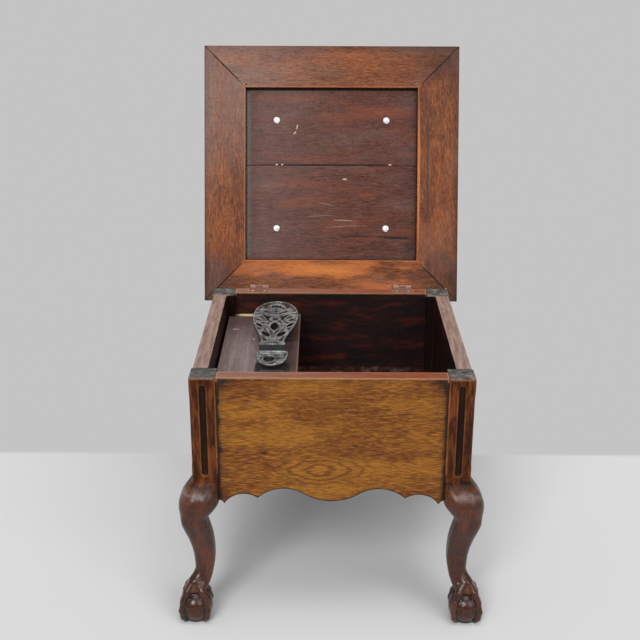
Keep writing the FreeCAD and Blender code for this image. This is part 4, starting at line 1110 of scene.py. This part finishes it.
def welt(material):
    """The piping sewn round the foot of the pad, drawn in between its corners."""
    count = WELT_CORNER_STEPS + 1
    turns = np.radians(np.concatenate([np.linspace(low, low + 90, count) for low in (0, 90, 180, 270)]))
    sides = np.repeat(((1, 1), (-1, 1), (-1, -1), (1, -1)), count, axis=0)
    path = sides * (WELT_HALF - WELT_CORNER) + WELT_CORNER * np.stack([np.cos(turns), np.sin(turns)], axis=1)
    closed = np.vstack([path, path[:1]])
    lengths = np.concatenate([[0.0], np.cumsum(np.hypot(*np.diff(closed, axis=0).T))])
    stations = np.linspace(0.0, lengths[-1], WELT_STATIONS, endpoint=False)
    line = np.stack([np.interp(stations, lengths, column) for column in closed.T], axis=1)
    pull = WELT_DRAWN_IN / WELT_HALF * (1.0 - np.clip(np.abs(line[:, ::-1]) / WELT_HALF, 0, 1) ** 2)
    line = line * (1.0 - pull)
    ahead = np.roll(line, -1, axis=0) - np.roll(line, 1, axis=0)
    ahead = ahead / np.hypot(*ahead.T)[:, None]
    out = np.stack([ahead[:, 1], -ahead[:, 0]], axis=1)
    turns = 2 * math.pi * np.arange(WELT_ROUND) / WELT_ROUND
    rings = line[:, None] + out[:, None] * (WELT_RADIUS * np.cos(turns))[:, None]
    levels = np.broadcast_to(PAD_FOOT + WELT_RADIUS * (0.8 + np.sin(turns)), rings.shape[:2])
    verts = np.dstack([rings, levels]).reshape(-1, 3) + np.array((0.0, LID_MID, 0.0))
    faces = []
    for i, j in product(range(WELT_STATIONS), range(WELT_ROUND)):
        here, after = i * WELT_ROUND, (i + 1) % WELT_STATIONS * WELT_ROUND
        beside = (j + 1) % WELT_ROUND
        faces.append((here + j, after + j, after + beside, here + beside))
    piece("pad_welt", on_lid(verts), faces, "lid", material)


# Screws

HEAD_SIDES = 40
SEAT_DEPTH = 0.6
DOME_SHARES = (0.86, 0.74, 0.62, 0.5, 0.38, 0.26, 0.14)
SLOT_SHARE = 0.3
# Head sizes, (radius, height), and where the screws sit
PAN_HEAD = (5.6, 3.0)
PAN_X = 95.5
PAN_Y = 94.0
HINGE_HEAD = (2.9, 0.25)
HINGE_STEP = 10.5
BOX_LEAF_INSET = 21.0
LID_LEAF_INSET = 12.0
REST_HEAD = (3.6, 1.8)
REST_ACROSS = 20.0
REST_STEP = 12.0
UPWARD = (0, 0, 1)


def lathe(profile, count):
    """Points and faces of a form turned about Z through (radius, height) levels, both ends on the axis."""
    turns = 2 * math.pi * np.arange(count) / count
    rings = [np.stack([radius * np.cos(turns), radius * np.sin(turns), np.full(count, height)], axis=1)
             for radius, height in profile[1:-1]]
    verts = np.vstack([(0.0, 0.0, profile[0][1]), *rings, (0.0, 0.0, profile[-1][1])])
    last = len(verts) - 1 - count
    faces = []
    for i in range(count):
        j = (i + 1) % count
        faces.append((0, 1 + j, 1 + i))
        for base in range(1, last, count):
            faces.append((base + i, base + j, base + count + j, base + count + i))
        faces.append((len(verts) - 1, last + i, last + j))
    return verts, faces


def screw_head(radius, height, slot_turn):
    """A domed head with a slot pressed into it, standing on the level of its seat."""
    levels = [(0.0, -SEAT_DEPTH), (radius * 0.7, -SEAT_DEPTH), (radius * 0.92, 0.0), (radius, height * 0.35),
              (radius * 0.95, height * 0.62)]
    levels += [(radius * share, height * (1.0 - 0.38 * share ** 2)) for share in DOME_SHARES]
    verts, faces = lathe(levels + [(0.0, height)], HEAD_SIDES)
    across = np.abs(verts[:, 0] * math.sin(slot_turn) - verts[:, 1] * math.cos(slot_turn))
    slot_half = radius * SLOT_SHARE
    pressed = np.clip((slot_half - across) / (0.35 * slot_half), 0, 1)
    verts[:, 2] -= np.where(verts[:, 2] > height * 0.5, pressed, 0) * height * 0.45
    return verts, faces


def screws(name, seats, head, body, material, node=None):
    """A set of screws in one piece. A seat is (place, outward direction, slot turn)."""
    all_verts, all_faces, base = [], [], 0
    for place, outward, turn in seats:
        verts, faces = screw_head(*head, turn)
        aim = np.array(Vector(UPWARD).rotation_difference(Vector(outward)).to_matrix())
        all_verts.append(verts @ aim.T + np.asarray(place))
        all_faces += [[i + base for i in face] for face in faces]
        base += len(verts)
    item = piece(name, np.concatenate(all_verts), all_faces, body, material)
    if node:
        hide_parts(node)


# Studio

FLOOR_TONE = (215, 215, 215)
FLOOR_REACH = 60.0
BACKDROP_TONE = (196, 196, 196)
BACKDROP_START = (0.245, 0.262)
SKY_TONE = (224, 226, 230)
SKY_STRENGTH = 0.40
# Lamps: (name, where the light comes from, spread in degrees, strength)
LAMPS = (
    ("key", (-0.9, -2.5, 2.0), 24.0, 1.6), ("fill", (1.7, -2.1, 1.8), 36.0, 0.82),
    ("top", (0.1, -0.4, 2.6), 34.0, 0.98))
SENSOR_WIDTH = 36.0
FOCAL_LENGTH = 1076.5 / 640.0 * SENSOR_WIDTH
CAMERA_PLACE = (-0.0140, -1.6575, 1.0083)
CAMERA_PITCH = math.radians(20.72)
CAMERA_YAW = 0.0026
CAMERA_ROLL = -0.0035


def studio():
    """A pale floor that turns to a grey backdrop behind the stool, a dim sky and three broad lamps."""
    shader = Shader("stage")
    shader.put(shader.surface.inputs["Base Color"], FLOOR_TONE)
    shader.put(shader.surface.inputs["Roughness"], 0.9)
    far = shader.parts(shader.where)[1].steps(*BACKDROP_START)
    rays = shader.node("LightPath", {}).outputs
    camera_ray, glossy, clear = (Field(shader, rays[f"Is {kind} Ray"])
                                 for kind in ("Camera", "Glossy", "Transmission"))
    glow = shader.add("Emission", {"Color": BACKDROP_TONE})
    ground = Field(shader, shader.surface.outputs[0])
    both = shader.add("MixShader", {0: far * (camera_ray | glossy | clear), 1: ground, 2: glow})
    shader.put(shader.tree.nodes["Material Output"].inputs["Surface"], both)
    mesh = bpy.data.meshes.new("floor")
    corners = [(x * FLOOR_REACH, y * FLOOR_REACH, 0) for x, y in ((-1, -1), (1, -1), (1, 1), (-1, 1))]
    mesh.from_pydata(corners, [], [(0, 1, 2, 3)])
    mesh.materials.append(shader.material)
    floor = stand("floor", mesh)
    world = bpy.data.worlds.new("studio")
    world.use_nodes = True
    back = world.node_tree.nodes["Background"]
    back.inputs["Color"].default_value = tone(*SKY_TONE)
    back.inputs["Strength"].default_value = SKY_STRENGTH
    scene.world = world
    for name, source, spread, strength in LAMPS:
        light = bpy.data.lights.new(name, "SUN")
        light.angle = math.radians(spread)
        light.energy = strength
        lamp = stand(name, light)
        lamp.location = source
        lamp.rotation_euler = (-Vector(source)).to_track_quat("-Z", "Y").to_euler()


def camera():
    """The photograph's view: from the front, above the open lid and a little left of the middle."""
    view = bpy.data.cameras.new("camera")
    view.sensor_width = SENSOR_WIDTH
    view.lens = FOCAL_LENGTH
    scene.camera = stand("camera", view)
    turn = Matrix.Rotation(CAMERA_YAW, 4, "Z") @ Matrix.Rotation(math.pi / 2 - CAMERA_PITCH, 4, "X")
    turn = turn @ Matrix.Rotation(-CAMERA_ROLL, 4, "Z")
    scene.camera.matrix_world = Matrix.Translation(CAMERA_PLACE) @ turn


# Assembly

GLOSS = {"post_wood": 0.12, "collar_wood": 0.18, "shoulder_wood": 0.26, "knee_wood": 0.36, "leg_wood": 0.44}
legs([post_wood(name, shine) for name, shine in GLOSS.items()])
for side, along, inward, seed in (("front", "x", 1.0, 0.0), ("back", "x", -1.0, 3.3),
                                  ("left", "y", 1.0, 5.1), ("right", "y", -1.0, 8.7)):
    dress(side + "_panel", panel_wood(side + "_wood", along, inward, seed), 1.0)
for side, along, seed, warmth, marks in (
        ("front", "x", 0.3, 0.0, TOP_MARKS), ("back", "x", 2.9, 0.6, LOW_MARKS),
        ("left", "y", 4.4, 0.0, []), ("right", "y", 7.2, 0.0, RIGHT_MARKS)):
    dress("lid_frame_" + side, lid_wood("lid_" + side + "_wood", along, seed, warmth, marks))
for side, seed, marks in (("front", 1.1, UPPER_BOARD_MARKS), ("back", 6.4, LOWER_BOARD_MARKS)):
    dress("lid_board_" + side, board_wood("board_" + side + "_wood", seed, marks))
dress("rest_shelf", shelf_wood())
for board in ("bottom_board_left", "bottom_board_right"):
    dress(board, inner_wood(board + "_wood", "y", INNER_TONES, 2.0))
for cleat in ("bottom_cleat_front", "bottom_cleat_back", "shelf_cleat_front", "shelf_cleat_back"):
    dress(cleat, inner_wood(cleat + "_wood", "x", INNER_TONES, 4.0))
dress("pad_base", inner_wood("pad_base_wood", "x", PAD_BASE_TONES, 1.0))
dark_iron = iron()
casting(dark_iron)
brass = metal("brass", (150, 124, 106), (222, 202, 180), 0.42, 0.5)
steel = metal("steel", (206, 206, 204), (246, 246, 244), 0.3, 0.35)
box_leaf = hinge_metal("box_leaf_brass", (152, 112, 98))
lid_leaf = hinge_metal("lid_leaf_brass", (134, 76, 48))
for side in ("left", "right"):
    dress(side + "_hinge_box_leaf", box_leaf, 0.2)
    dress(side + "_hinge_lid_leaf", lid_leaf, 0.2)
    dress(side + "_hinge_pin", brass, 0.2)
cover = leather()
cushion(cover)
welt(cover)

lid_down = np.array(Matrix.Rotation(-OPEN_ANGLE, 3, "X")) @ np.array((0.0, 0.0, -1.0))
pan_seats = [(on_lid((x, LID_MID + y, BOARD_UNDER)), lid_down, 0.4 + x * y)
             for x, y in product((-PAN_X, PAN_X), (-PAN_Y, PAN_Y))]
screws("pan_screws", pan_seats, PAN_HEAD, "lid", steel, "lid_screws")
box_seats, leaf_seats = [], []
for side, step in product((-HINGE_X, HINGE_X), (-HINGE_STEP, HINGE_STEP)):
    box_seats.append(((side + step, HINGE_Y - BOX_LEAF_INSET, RIM), UPWARD, side * step))
    leaf_seats.append((on_lid((side + step, LID_LEAF_INSET, 0.0)), lid_down, side + step))
screws("hinge_box_screws", box_seats, HINGE_HEAD, "stool", brass)
screws("hinge_lid_screws", leaf_seats, HINGE_HEAD, "lid", brass)
rest_seats = []
for foot, across, step in product(REST_FEET, (-REST_ACROSS, REST_ACROSS), (-REST_STEP, REST_STEP)):
    place = (REST_X + across, MID_Y + foot + step, SHELF_TOP + FLANGE_HEIGHT)
    rest_seats.append((place, UPWARD, across * step))
screws("rest_screws", rest_seats, REST_HEAD, "stool", dark_iron)

studio()
camera()
scene.view_settings.view_transform = "Standard"
